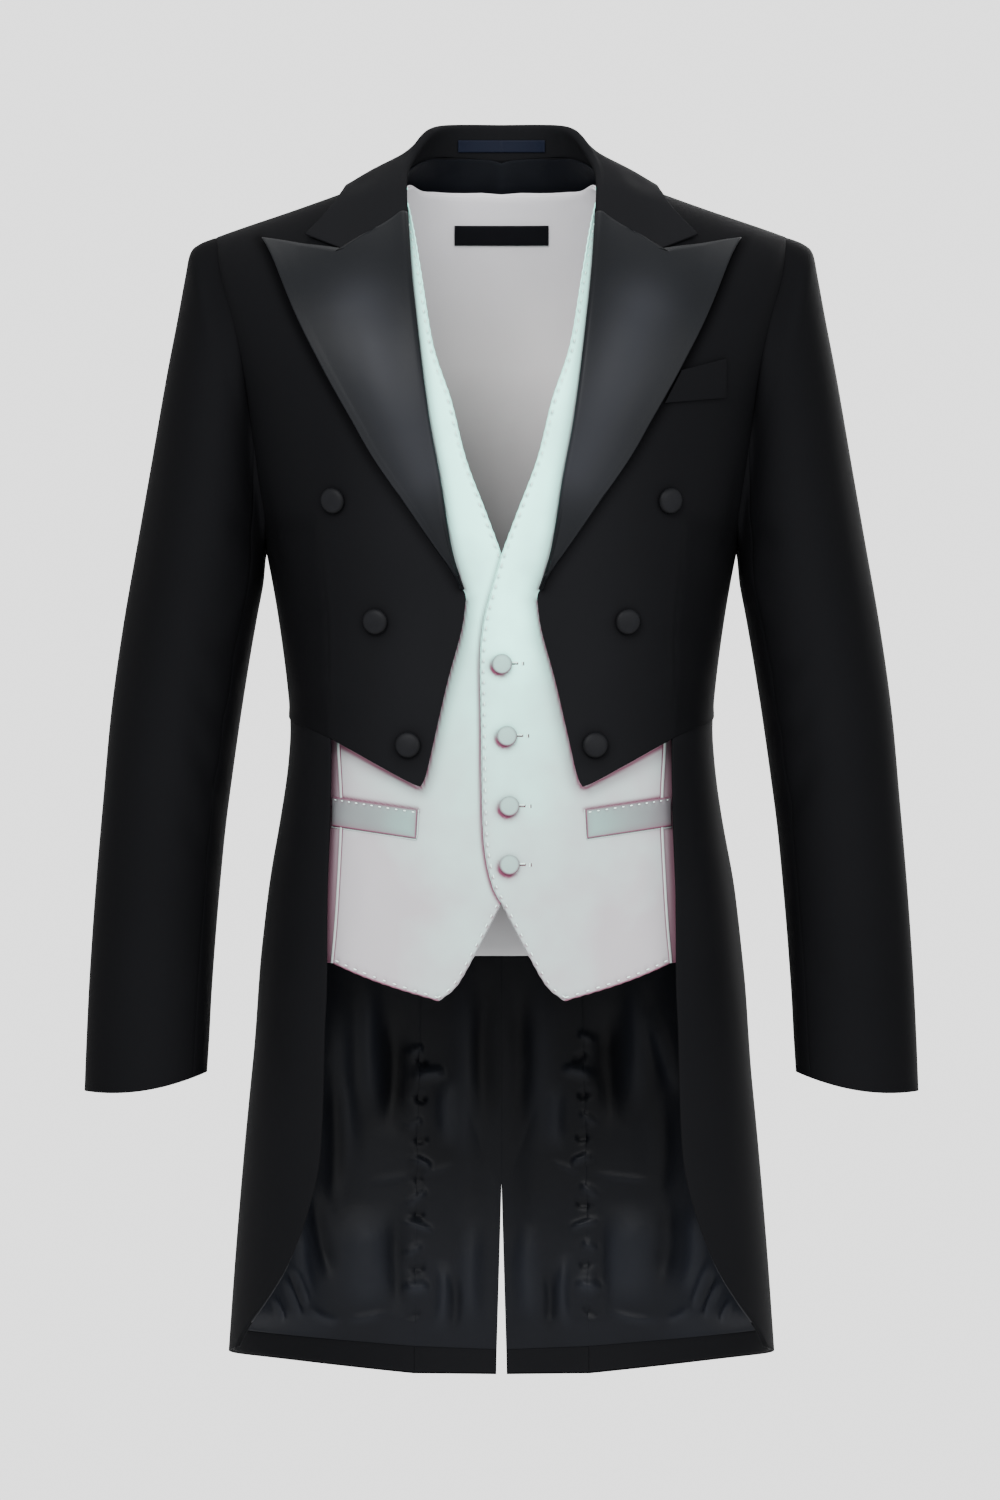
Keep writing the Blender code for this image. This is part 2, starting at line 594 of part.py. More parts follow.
def tail_spots(lines):
    # The skirt runs from its front edge by the side to the tail seam.
    front = smooth_line(outline(TAIL_FRONT), TAIL_CELLS)
    outer = lines["tail_seam"]
    top = joined(lines["waist_front"], lines["waist_side"])
    facing = smooth_line([front[-1]] + turned_outline(FACING_SIDE) + [outer[-1]], len(top) - 1)
    bottom = smooth_line([seen(*TAIL_CORNER)] + turned_outline(HEM_SIDE)
                         + [seen(*TAIL_SEAM_HEM, behind=True)], len(top) - 1)
    return patch(top, facing, front, outer) + [bottom]


def backs_and_tails(lines):
    back = placed(back_spots(lines))
    seam_half = SEAM_GAP / 2
    wall_back = trimmed(back, top=seam_half, left=seam_half, right=seam_half)
    pair("coat_back", wall_back, COAT_WALL, "wool")
    tail = placed(tail_spots(lines))
    pair("coat_tail", trimmed(tail, top=seam_half, right=seam_half), COAT_WALL, "wool")

    # Linings and turned-up hems lie inside the tails, on the tails' own points.
    under = -(COAT_WALL + LINING_GAP)
    below_waist = ARMHOLE_BACK_CELLS + SIDE_CELLS + 1
    for name, panel, first in (("back", back, below_waist), ("tail", tail, 1)):
        lining = trimmed(panel[first:-1], bottom=seam_half, left=LINING_EDGE, right=seam_half)
        pair(name + "_lining", moved_out(lining, under), LINING_WALL, "black_lining")
        hem = trimmed(panel[-2:], top=seam_half, bottom=LINING_EDGE, left=LINING_EDGE, right=seam_half)
        pair(name + "_hem", moved_out(hem, under), HEM_WALL, "wool")

    # The neck lining hangs inside the back's top rows, across the centre.
    rows = [row[:NECK_BACK_CELLS + 1] for row in back[:NECK_LINING_ROWS]]
    half = moved_out(trimmed(rows, top=SEAM_GAP), under)
    whole = [list(reversed(other))[:-1] + row for row, other in zip(half, mirrored(half))]
    wall("back_neck_lining", whole, LINING_WALL, "black_lining")
    return [(body_point(*spot), body_normal(*spot)) for spot in lines["neck_back"]]


def sleeves(lines):
    # The armhole seen from the sleeve: one loop of the coat's own seam points.
    loop = joined(lines["armhole_front"], lines["armhole_side"], lines["armhole_back"])[:-1]
    seam = [(body_point(*spot), body_normal(*spot)) for spot in loop]
    rings = []
    for number, ring in enumerate(SLEEVE_RINGS):
        outer = Vector((ring.outer_x, 0.0, ring.outer_z))
        inner = Vector((ring.inner_x, 0.0, ring.inner_z))
        middle = (outer + inner) / 2 + Vector((0.0, ring.middle_y, 0.0))
        droop = CUFF_DROOP * (number / (len(SLEEVE_RINGS) - 1))**4
        row = []
        for k, angle in enumerate(SLEEVE_ANGLES):
            swing = math.sin(angle * TURN)
            point = middle + (outer - inner) / 2 * math.cos(angle * TURN)
            point += Vector((0.0, -ring.half_depth * swing, -droop * swing**2))
            if number == 0:
                point = seam[k][0]
            elif ring.armhole:
                first = SLEEVE_RINGS[0]
                plain = Vector(((first.outer_x + first.inner_x) / 2, first.middle_y,
                                (first.outer_z + first.inner_z) / 2))
                plain += Vector((first.outer_x - first.inner_x, 0.0,
                                 first.outer_z - first.inner_z)) / 2 * math.cos(angle * TURN)
                plain += Vector((0.0, -first.half_depth * swing, 0.0))
                point += (seam[k][0] - plain) * ring.armhole
            row.append(point)
        rings.append(row)
    grid = sheet_normals(rings, closed=True)
    if grid[7][0][1].x < 0:
        grid = [[(p, -n) for p, n in row] for row in grid]
    # The sleeve's edge lies on the outside of the armhole's edge, clear of it at any angle.
    for k, (point, out) in enumerate(seam):
        way = grid[0][k][1]
        clear = SEAM_GAP + COAT_WALL * max(0.0, way.dot(out))
        grid[0][k] = (point + out * clear, way)
    columns = len(SLEEVE_ANGLES)
    top_columns = list(range(HINDARM, columns)) + list(range(0, FOREARM + 1))
    under_columns = list(range(FOREARM, HINDARM + 1))
    for name, chosen in (("top_sleeve", top_columns), ("under_sleeve", under_columns)):
        panel = [[row[k] for k in chosen] for row in grid]
        pair(name, trimmed(panel, left=SEAM_GAP / 2, right=SEAM_GAP / 2), COAT_WALL, "wool")


def fold_points(extreme, up, out, radius):
    # A half turn of cloth seen as its face: `up` is towards the fold, `out` towards the outer leaf.
    centre = extreme - up * radius
    points = []
    for step in range(5):
        angle = math.pi * (1 - step / 4)
        way = out * math.cos(angle) + up * math.sin(angle)
        points.append((centre + way * radius, way))
    return points


def roll_section(spot, tangent, radius):
    # The lapel's fold at a spot of the roll line; it turns round the front's raw edge.
    point = body_point(*spot)
    out = body_normal(*spot)
    aside = tangent.cross(out).normalized()
    if aside.x < 0:
        aside = -aside
    middle = point - out * (COAT_WALL / 2)
    return fold_points(middle, -aside, out, radius), aside


def roll_line():
    spots = smooth_line(outline(ROLL_LINE), ROLL_CELLS)
    points = [body_point(*spot) for spot in spots]
    tangents = []
    for k in range(len(points)):
        way = points[min(k + 1, len(points) - 1)] - points[max(k - 1, 0)]
        tangents.append(way.normalized())
    return spots, tangents


def overlay(x, z):
    inset = -(LEAF_GAP + COAT_WALL)
    spot = seen(x, z, inset)
    return (body_point(*spot, inset), body_normal(*spot, inset))


def gorge_section():
    # The points that the lapel's top and the collar's end share: the fold, mid gorge and notch.
    spots, tangents = roll_line()
    fold, aside = roll_section(spots[0], tangents[0], ROLL_RADIUS)
    return fold + [overlay(*GORGE_MIDDLE), overlay(*NOTCH)]


def draped(start, end_spot, parts, inset):
    # Points from a fold that stands off the body down to an edge that lies on it.
    foot = seen(start.x, start.z, inset)
    lift = (start - body_point(*foot, inset)).length
    row = []
    for part in parts:
        place = tuple(a + (b - a) * part for a, b in zip(foot, end_spot))
        normal = body_normal(*place, inset)
        row.append((body_point(*place, inset) + normal * lift * (1 - part)**2, normal))
    return row


def lapels():
    inset = -(LAY_GAP + SATIN_WALL)
    shared = gorge_section()
    spots, tangents = roll_line()
    outer_edge = smooth_line(outline(LAPEL_EDGE, inset), ROLL_CELLS)
    rows = []
    last = len(spots) - 1
    for k, (spot, tangent) in enumerate(zip(spots, tangents)):
        share = k / last
        radius = ROLL_RADIUS + (ROLL_RADIUS_LOW - ROLL_RADIUS) * share
        fold, aside = roll_section(spot, tangent, radius)
        leg = FACING_LEG * (1 - share) + FACING_LEG_LOW
        start = (fold[0][0] + aside * leg, fold[0][1])
        # Across the face, from the fold to the outer edge, with the roll easing down to the cloth.
        # The upper rows bend towards the gorge and the peak.
        foot = fold[-1][0]
        inside = seen(foot.x, foot.z, inset)
        lift = (foot - body_point(*inside, inset)).length
        bend = max(0.0, 1 - k / PEAK_ROWS)**1.5
        face = []
        for part, (x, z) in zip(LAPEL_PARTS, LAPEL_TOP):
            place = tuple(a + (b - a) * part for a, b in zip(inside, outer_edge[k]))
            rise = lift * (1 - part)**2
            if k == 0:
                place, rise = seen(x, z, inset), 0.0
            elif bend:
                straight = seen(foot.x + (PEAK_TIP[0] - foot.x) * part,
                                ROLL_LINE[0][1] + (PEAK_TIP[1] - ROLL_LINE[0][1]) * part, inset)
                place = tuple(a + (b - c) * bend for a, b, c in zip(place, seen(x, z, inset), straight))
            normal = body_normal(*place, inset)
            face.append((body_point(*place, inset) + normal * rise, normal))
        rows.append([start] + fold + face)
    for k, shared_point in enumerate(shared):
        rows[0][k + 1] = shared_point
    grid = trimmed(rows, top=SEAM_GAP / 2)
    pair("coat_lapel", grid, SATIN_WALL, "satin")


def collar(neck_back, neck_front_points):
    # Half of the collar, from the centre back to the gorge: stand, fold and leaf in one wall.
    inset = -(LEAF_GAP + COAT_WALL)
    neck_front_points = list(reversed(neck_front_points))
    neck = neck_back + neck_front_points[1:]
    back_fold = smooth_line([Vector(p) for p in FOLD_BACK], NECK_BACK_CELLS, spacing(neck_back))
    shared = gorge_section()
    front_fold = smooth_line([Vector(p) for p in FOLD_FRONT] + [shared[2][0]], NECK_FRONT_CELLS,
                             spacing(neck_front_points))
    folds = [Vector(p) for p in joined(back_fold, front_fold)]
    ridge_angle = on_ridge(COLLAR_EDGE_RIDGE, True)[0]
    edge_back = smooth_line(COLLAR_EDGE + ((ridge_angle, ridge_height(ridge_angle, inset)),),
                            NECK_BACK_CELLS)
    edge_front = smooth_line([on_ridge(COLLAR_EDGE_RIDGE)] + outline(COLLAR_EDGE_FRONT, inset),
                             NECK_FRONT_CELLS)
    edge_spots = turned_outline(edge_back, inset) + edge_front[1:]
    edge = [(body_point(*s, inset), body_normal(*s, inset)) for s in edge_spots]
    rows = []
    walls = {}
    last = len(folds) - 1
    for k in range(last + 1):
        seam, out = neck[k]
        before, after = folds[max(k - 1, 0)], folds[min(k + 1, last)]
        along = (after - before).normalized()
        if k == 0:
            along = Vector((1.0, 0.0, 0.0))
        base = seam - out * COAT_WALL
        lift = (folds[k] - base)
        base = base + (lift - out * lift.dot(out)).normalized() * SEAM_GAP
        towards = edge[k][0] - folds[k]
        up = (folds[k] - base).normalized()
        up = (up - along * up.dot(along)).normalized()
        aside_k = towards - along * towards.dot(along)
        aside_k = (aside_k - up * aside_k.dot(up)).normalized()
        fold = shared[:5] if k == last else fold_points(folds[k], up, aside_k, COLLAR_RADIUS)
        middle = (base + fold[0][0]) / 2
        row = [(base, -out), (middle, -aside_k)] + list(fold)
        if k == last:
            row += [shared[5], shared[6], edge[k]]
        elif k > NECK_BACK_CELLS:
            row += draped(fold[-1][0], edge_spots[k], LAPEL_PARTS[:2] + (1.0,), inset)
        else:
            for part in LAPEL_PARTS[:2]:
                point = fold[-1][0].lerp(edge[k][0], part)
                point += edge[k][1] * (LEAF_BOW * 4 * part * (1 - part))
                row.append((point, fold[-1][1].lerp(edge[k][1], part).normalized()))
            row.append(edge[k])
        rows.append(row)
        walls[k] = out * COAT_WALL
    half = trimmed(rows, bottom=SEAM_GAP)
    other = mirrored(half)
    whole = list(reversed(other))[:-1] + half
    edge_walls = {}
    for k in range(last + 1):
        edge_walls[(last + k, 0)] = walls[k]
        edge_walls[(last - k, 0)] = Vector((-walls[k].x, walls[k].y, walls[k].z))
    wall("coat_collar", whole, COAT_WALL, "wool", edge_walls=edge_walls)
    bare_label("coat_label", whole, COAT_LABEL, "navy_label")


def bare_label(name, grid, size, material):
    # A label on the inside of the back, laid on the flat cells of what carries it.
    tree = cell_tree(grid)
    label = []
    for z in (size.top, size.bottom):
        row = []
        for j in range(LABEL_CELLS + 1):
            x = size.half_width * (2 * j / LABEL_CELLS - 1)
            row.append(tree.ray_cast(Vector((x, 0.0, z)), Vector((0.0, 1.0, 0.0)))[0])
        label.append(row)
    facing = sheet_normals(label)
    if facing[0][0][1].y > 0:
        facing = [[(p, -n) for p, n in row] for row in facing]
    wall(name, moved_out(facing, LAY_GAP + LABEL_WALL), LABEL_WALL, material)


def welt(corners, inset):
    # A strip between two straight edges, laid on the form.
    top_left, top_right, low_right, low_left = corners
    grid = []
    for start, end in ((top_left, top_right), (low_left, low_right)):
        row = []
        for j in range(WELT_CELLS + 1):
            u = j / WELT_CELLS
            spot = seen(start[0] + (end[0] - start[0]) * u, start[1] + (end[1] - start[1]) * u, inset)
            row.append((body_point(*spot, inset), body_normal(*spot, inset)))
        grid.append(row)
    return grid


def reaching(grid):
    # Lifts the outer end of the shoulder seam until the coat can rest on it.
    top = []
    for point, normal in grid[0]:
        share = ease((abs(point.x) - REACH_FROM) / REACH_WIDTH)
        top.append((point + normal * SHOULDER_REACH * share, normal))
    return [top] + grid[1:]


def sunk(grid):
    # The under front sinks behind the upper one towards the middle.
    rows = []
    for row in grid:
        rows.append([(p - n * UNDERLAP * ease((UNDERLAP_FROM - p.x) / UNDERLAP_WIDTH), n)
                     for p, n in row])
    return rows


def waistcoat():
    inset = WAISTCOAT_INSET
    panel_seam = smooth_line(outline(PANEL_SEAM, inset), WAISTCOAT_SEAM_CELLS)
    armhole = smooth_line([on_ridge(WAISTCOAT_SHOULDER)] + outline(WAISTCOAT_ARMHOLE, inset),
                          WAISTCOAT_ARMHOLE_CELLS)
    shoulder = smooth_line([on_ridge(WAISTCOAT_NECK), on_ridge(WAISTCOAT_SHOULDER)],
                           WAISTCOAT_SHOULDER_CELLS)
    v_edge = smooth_line([on_ridge(WAISTCOAT_NECK)] + outline(V_EDGE, inset),
                         WAISTCOAT_ARMHOLE_CELLS)
    point_edge = smooth_line(outline(POINT_EDGE, inset), POINT_CELLS)
    hem = smooth_line(outline(FRONT_HEM, inset), WAISTCOAT_HEM_CELLS)
    outer = joined(armhole, panel_seam)
    seam_half = SEAM_GAP / 2
    fronts = []
    for middle in (OVERLAP, UNDER_EDGE):
        inner = joined(v_edge, smooth_line(outline(middle, inset), OVERLAP_CELLS), point_edge)
        spots = patch(shoulder, hem, inner, outer)
        fronts.append(trimmed(reaching(placed(spots, inset)), top=seam_half))
    upper, under = fronts
    wall("waistcoat_front_l", trimmed(upper, right=seam_half), WAISTCOAT_WALL, "pale_cloth")
    wall("waistcoat_front_r", trimmed(mirrored(sunk(under)), right=seam_half), WAISTCOAT_WALL,
         "pale_cloth")
    side_top = smooth_line([panel_seam[0]] + turned_outline(SIDE_ARMHOLE, inset), WAISTCOAT_SIDE_CELLS)
    side_hem = smooth_line([panel_seam[-1]] + turned_outline(SIDE_HEM, inset), WAISTCOAT_SIDE_CELLS)
    side_seam = smooth_line(turned_outline((SIDE_ARMHOLE[-1], SIDE_HEM[-1]), inset),
                            WAISTCOAT_SEAM_CELLS)
    grid = placed(patch(side_top, side_hem, panel_seam, side_seam), inset)
    pair("waistcoat_side", trimmed(grid, left=seam_half, right=seam_half), WAISTCOAT_WALL,
         "pale_cloth")

    # The back is one piece, worked out from its left half.
    neck = smooth_line([on_ridge(WAISTCOAT_NECK, True)]
                       + outline(WAISTCOAT_NECK_BACK, inset, behind=True), WAISTCOAT_NECK_CELLS)
    shoulder_back = smooth_line([on_ridge(WAISTCOAT_SHOULDER, True), on_ridge(WAISTCOAT_NECK, True)],
                                WAISTCOAT_SHOULDER_CELLS // 2)
    armhole_back = smooth_line([on_ridge(WAISTCOAT_SHOULDER, True)]
                               + list(reversed(turned_outline(BACK_ARMHOLE, inset))),
                               WAISTCOAT_ARMHOLE_BACK_CELLS)
    left = joined(armhole_back, side_seam)
    centre = smooth_line([neck[-1], by_angle(180.0, SIDE_HEM[-1][1], inset)], len(left) - 1)
    bottom = smooth_line([side_seam[-1], centre[-1]],
                         WAISTCOAT_SHOULDER_CELLS // 2 + WAISTCOAT_NECK_CELLS)
    half = placed(patch(joined(shoulder_back, neck), bottom, left, centre), inset)
    half = trimmed(reaching(half), top=seam_half, left=seam_half)
    whole = [row + list(reversed(other))[1:] for row, other in zip(half, mirrored(half))]
    wall("waistcoat_back", whole, WAISTCOAT_WALL, "pale_lining")
    lining = trimmed(whole, top=WAISTCOAT_LINING_EDGE, bottom=WAISTCOAT_LINING_EDGE)
    lining = moved_out(lining, -(WAISTCOAT_WALL + SEAM_GAP))
    wall("waistcoat_back_lining", lining, LINING_WALL, "pale_lining")
    bare_label("waistcoat_label", moved_out(lining, -LINING_WALL), WAISTCOAT_LABEL, "black_label")
    welts = welt(WAISTCOAT_WELT, inset - LAY_GAP - WAISTCOAT_WALL)
    pair("waistcoat_welt", welts, WAISTCOAT_WALL, "pale_cloth")
    return upper


def button_mesh(name, button):
    # A domed disc, turned from its profile.
    bm = bmesh.new()
    radius, height = button.diameter / 2, button.height
    profile = [bm.verts.new((0.0, 0.0, 0.0))]
    profile += [bm.verts.new((radius * r, 0.0, height * h)) for r, h in BUTTON_PROFILE]
    profile.append(bm.verts.new((0.0, 0.0, height)))
    edges = [bm.edges.new(ends) for ends in zip(profile, profile[1:])]
    bmesh.ops.spin(bm, geom=profile + edges, cent=(0, 0, 0), axis=(0, 0, 1), dvec=(0, 0, 0),
                   angle=2 * math.pi, steps=BUTTON_SIDES, use_merge=True, use_duplicate=False)
    bmesh.ops.remove_doubles(bm, verts=bm.verts, dist=1e-5)
    bmesh.ops.triangulate(bm, faces=bm.faces)
    bmesh.ops.recalc_face_normals(bm, faces=bm.faces)
    if bm.calc_volume(signed=True) < 0:
        bmesh.ops.reverse_faces(bm, faces=bm.faces)
    mesh = bpy.data.meshes.new(name)
    bm.to_mesh(mesh)
    bm.free()
    mesh.shade_smooth()
    mesh.set_sharp_from_angle(angle=math.radians(50))
    return mesh


def buttons(coat_front, waistcoat_front):
    # Each button lies on the flat cell of the front behind it.
    for group, front, inset, material in (
            (COAT_BUTTONS, coat_front, 0.0, "covered_button"),
            (WAISTCOAT_BUTTONS, waistcoat_front, WAISTCOAT_INSET, "pale_cloth")):
        tree = cell_tree(front)
        for button in group:
            side = -1 if button.x < 0 else 1
            spot = seen(abs(button.x), button.z, inset)
            point, out = body_point(*spot, inset), body_normal(*spot, inset)
            highest = -1.0
            for step in range(SEAT_RAYS):
                around = out.orthogonal().normalized() * button.diameter * SEAT_SHARE
                around.rotate(Quaternion(out, step * 2 * math.pi / SEAT_RAYS))
                hit = tree.ray_cast(point + around + out * button.diameter, -out)[0]
                highest = max(highest, (hit - point).dot(out))
            piece = add_object(button.name, button_mesh(button.name, button), material)
            point += out * (highest + SEAM_GAP)
            out = Vector((side * out.x, out.y, out.z))
            piece.location = (side * point.x, point.y, point.z)
            piece.rotation_euler = out.to_track_quat("Z", "Y").to_euler()


def build():
    for thing in list(bpy.data.objects):
        bpy.data.objects.remove(thing, do_unlink=True)
    garment = bpy.data.objects.new("garment", None)
    bpy.context.scene.collection.objects.link(garment)
    lines = coat_lines()
    coat_front, neck_front_points = coat_fronts(lines)
    coat_sides(lines)
    neck_back_points = backs_and_tails(lines)
    sleeves(lines)
    lapels()
    collar(neck_back_points, neck_front_points)
    wall("coat_breast_welt", welt(BREAST_WELT, -(LAY_GAP + SATIN_WALL)), SATIN_WALL, "wool")
    waistcoat_front = waistcoat()
    buttons(coat_front, waistcoat_front)


build()
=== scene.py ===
# An evening tailcoat with satin lapels over a pale waistcoat, filled out as worn, with nobody inside.
# Metres, +Z up, front towards -Y, wearer's left towards +X.

import math

import bpy
import numpy as np
from mathutils import Matrix, Vector
from mathutils.bvhtree import BVHTree


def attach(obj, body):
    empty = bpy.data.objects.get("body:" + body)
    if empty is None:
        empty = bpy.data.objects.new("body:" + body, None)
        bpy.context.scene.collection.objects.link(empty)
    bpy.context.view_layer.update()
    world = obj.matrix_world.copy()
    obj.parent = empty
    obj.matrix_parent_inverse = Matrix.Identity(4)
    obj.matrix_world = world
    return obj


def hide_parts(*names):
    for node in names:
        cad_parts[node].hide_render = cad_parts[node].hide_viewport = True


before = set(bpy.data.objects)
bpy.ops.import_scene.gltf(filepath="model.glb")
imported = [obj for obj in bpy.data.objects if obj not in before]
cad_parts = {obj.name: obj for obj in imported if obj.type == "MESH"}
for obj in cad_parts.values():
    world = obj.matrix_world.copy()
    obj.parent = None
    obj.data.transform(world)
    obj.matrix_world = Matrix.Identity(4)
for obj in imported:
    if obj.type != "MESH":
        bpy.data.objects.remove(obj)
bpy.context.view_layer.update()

turn = math.pi / 180
print("frame loaded:", len(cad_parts), "nodes")

# The figure that both garments are cut for, and the cloth

figure = {
    "chest": -0.170,            # above it the body rounds over to the shoulders
    "ridgeRise": 0.200,
    "shoulderHalf": 0.215,
    "cornerFullness": 0.30,     # squares the sections off a little
    "shoulderSquare": 5.0,      # and much more towards the shoulders
    "shoulderSlope": 0.30,
    "girth": 0.0025,            # metres of cloth to a degree
    "sections": (               # height, half width, front, back
        (-0.900, 0.2065, 0.1180, 0.1340), (-0.791, 0.1989, 0.1170, 0.1340),
        (-0.702, 0.1914, 0.1160, 0.1340), (-0.612, 0.1825, 0.1150, 0.1330),
        (-0.522, 0.1728, 0.1130, 0.1280), (-0.463, 0.1642, 0.1110, 0.1180),
        (-0.403, 0.1578, 0.1110, 0.1060), (-0.373, 0.1588, 0.1130, 0.1040),
        (-0.313, 0.1664, 0.1190, 0.1080), (-0.262, 0.1757, 0.1240, 0.1170),
        (-0.216, 0.1865, 0.1270, 0.1240), (-0.170, 0.1957, 0.1280, 0.1260),
        (-0.129, 0.2025, 0.1280, 0.1260), (-0.092, 0.2075, 0.1280, 0.1260),
        (-0.041, 0.2140, 0.1280, 0.1260), (0.100, 0.2150, 0.1280, 0.1260)),
    "ridge": (                  # half width, height
        (-0.030, 0.0680), (0.000, 0.0750), (0.030, 0.0680), (0.050, 0.0520), (0.063, 0.0365),
        (0.078, 0.0200), (0.112, 0.0075), (0.154, -0.0075), (0.198, -0.0224), (0.230, -0.0340)),
}
cloth = {
    "coat": 0.0020, "satin": 0.0018, "waistcoat": 0.0016, "hem": 0.0016, "lining": 0.0010,
    "label": 0.0010, "seam": 0.0003, "join": -0.00005, "lay": 0.0008, "leaf": 0.0024, "liningGap": 0.0007,
    "liningEdge": 0.0015, "liningLoose": 0.0042, "inset": 0.012, "edgeRoll": 0.0006, "liningRoll": 0.0001,
}


def ease(share):
    share = np.clip(share, 0.0, 1.0)
    return share * share * (3 - 2 * share)


def unit(vectors):
    return vectors / np.maximum(np.linalg.norm(vectors, axis=-1, keepdims=True), 1e-12)


def reaches(points, axis=0, scale=1.0):  # how far along its line each point lies
    steps = np.linalg.norm(np.diff(points, axis=axis) * scale, axis=-1)
    return np.concatenate((np.zeros_like(steps.take([0], axis)), np.cumsum(steps, axis)), axis)


def readAt(at, keys, table):  # each column of a table, read between its keys
    return np.stack([np.interp(at, keys, column) for column in table.T], axis=-1)


def through(keys, values, at):  # a smooth curve through a table, read at some of its keys
    keys, values = np.asarray(keys, float), np.asarray(values, float)
    at = np.clip(at, keys[0], keys[-1])
    low = np.clip(np.searchsorted(keys, at, side="right") - 1, 0, len(keys) - 2)
    index = np.arange(len(keys))
    before, after = np.maximum(index - 1, 0), np.minimum(index + 1, len(keys) - 1)
    gap = (keys[after] - keys[before]).reshape((-1,) + (1,) * (values.ndim - 1))
    slopes = (values[after] - values[before]) / gap
    shape = np.shape(at) + (1,) * (values.ndim - 1)
    span = (keys[low + 1] - keys[low]).reshape(shape)
    t = (at - keys[low]).reshape(shape) / span
    return ((2 * t**3 - 3 * t**2 + 1) * values[low] + (t**3 - 2 * t**2 + t) * span * slopes[low]
            + (3 * t**2 - 2 * t**3) * values[low + 1] + (t**3 - t**2) * span * slopes[low + 1])


sections = np.array(figure["sections"])
ridge = np.array(figure["ridge"])
ridgeTop = figure["ridgeRise"] * math.pi / 2


def ridgeHeight(angle, inset):
    return through(ridge[:, 0], ridge[:, 1], figure["shoulderHalf"] * np.abs(np.sin(angle * turn))) - inset


def bodyPoints(spots, inset=0.0):  # a spot is an angle from the front centre and a rise over the chest
    spots = np.asarray(spots, float)
    angle, rise = spots[..., 0], spots[..., 1]
    lean = np.maximum(rise, 0.0) / figure["ridgeRise"]
    over = (ridgeHeight(angle, inset) - figure["chest"]) * np.sin(lean)
    height = figure["chest"] + np.where(rise > 0, over, rise)
    side, ahead = np.sin(angle * turn), np.cos(angle * turn)
    along = ahead * (1 + figure["cornerFullness"] * side**2)
    square = figure["shoulderSquare"] * np.sin(lean)**2
    along = along * (1 + square) / (1 + square * np.abs(along))
    front = through(sections[:, 0], sections[:, 2], height)
    back = through(sections[:, 0], sections[:, 3], height)
    depth = np.where(along > 0, front, back) - inset
    slope = np.cos(lean) * (1 - figure["shoulderSlope"] * (np.sin(lean) * ahead)**2)
    halfWidth = through(sections[:, 0], sections[:, 1], height) - inset
    return np.stack((halfWidth * side, -depth * along * slope, height), axis=-1)


def bodyNormals(spots, inset=0.0):
    spots = np.asarray(spots, float)
    stepAngle, stepRise = np.array((0.4, 0.0)), np.array((0.0, 0.001))
    across = bodyPoints(spots + stepAngle, inset) - bodyPoints(spots - stepAngle, inset)
    up = bodyPoints(spots + stepRise, inset) - bodyPoints(spots - stepRise, inset)
    return unit(np.cross(across, up))


def byAngle(places, inset=0.0):  # spots from angles and heights
    places = np.asarray(places, float)
    angle, height = places[..., 0], places[..., 1]
    share = (height - figure["chest"]) / (ridgeHeight(angle, inset) - figure["chest"])
    over = figure["ridgeRise"] * np.arcsin(np.clip(share, 0.0, 1.0))
    return np.stack((angle, np.where(height > figure["chest"], over, height - figure["chest"])), axis=-1)


def seen(places, inset=0.0, behind=False):  # spots from x and height, looked at from the front or back
    places = np.asarray(places, float)
    x, height = places[..., 0], places[..., 1]
    halfWidth = through(sections[:, 0], sections[:, 1], height) - inset
    angle = np.arcsin(np.clip(x / halfWidth, -1.0, 1.0)) / turn
    if behind:
        angle = np.where(x >= 0, 180 - angle, -180 - angle)
    return byAngle(np.stack((angle, height), axis=-1), inset)


def onRidge(x, behind=False):
    angle = math.asin(x / figure["shoulderHalf"]) / turn
    return np.array((180 - angle if behind else angle, ridgeTop))


spotScale = np.array((figure["girth"], 1.0))    # metres of cloth to a degree and to a metre of rise
flipped = np.array((-1.0, 1.0, 1.0))            # changes the left side into the right
forwards = np.array((1.0, 0.0, 1.0))            # leaves x and z, as looked at from the front


def smoothLine(cells, *parts, shares=None):  # even places on a smooth curve through points and lines
    points = np.vstack(parts).astype(float)
    last = len(points) - 1
    t = (np.arange(12) / 12)[:, None]
    fine = []
    for k in range(last):
        b, c = points[k], points[k + 1]
        a, d = points[max(k - 1, 0)], points[min(k + 2, last)]
        fine.append(0.5 * (2 * b + (c - a) * t + (2 * a - 5 * b + 4 * c - d) * t**2
                           + (3 * b - 3 * c + d - a) * t**3))
    fine = np.vstack(fine + [points[-1:]])
    lengths = reaches(fine, scale=spotScale if points.shape[1] == 2 else 1.0)
    shares = np.linspace(0, 1, cells + 1) if shares is None else np.asarray(shares)
    return readAt(shares * lengths[-1], lengths, fine)


def joined(*lines):
    return np.vstack([lines[0]] + [line[1:] for line in lines[1:]])


def spacing(points):
    lengths = reaches(points)
    return lengths / lengths[-1]


def refined(points, cells):  # a smooth line through points, with its own count of cells in each stretch
    keys = spacing(points)
    at = [keys[0]]
    for k, count in enumerate(cells):
        at += list(np.linspace(keys[k], keys[k + 1], count + 1)[1:])
    return through(keys, points, np.array(at))


def patch(top, bottom, left, right, shares=None):
    # Spots filled in between four edges: top and bottom run left to right, the others downwards.
    v = np.linspace(0, 1, len(left))[:, None, None]
    u = np.linspace(0, 1, len(top)) if shares is None else shares
    u = u[None, :, None]
    return ((1 - v) * top[None] + v * bottom[None] + (1 - u) * left[:, None] + u * right[:, None]
            - (1 - u) * (1 - v) * top[0] - u * (1 - v) * top[-1]
            - (1 - u) * v * bottom[0] - u * v * bottom[-1])


def gridQuads(rows, columns):
    i, j = np.meshgrid(np.arange(rows - 1), np.arange(columns - 1), indexing="ij")
    a = (i * columns + j).ravel()
    return np.stack((a, a + columns, a + columns + 1, a + 1), axis=-1)


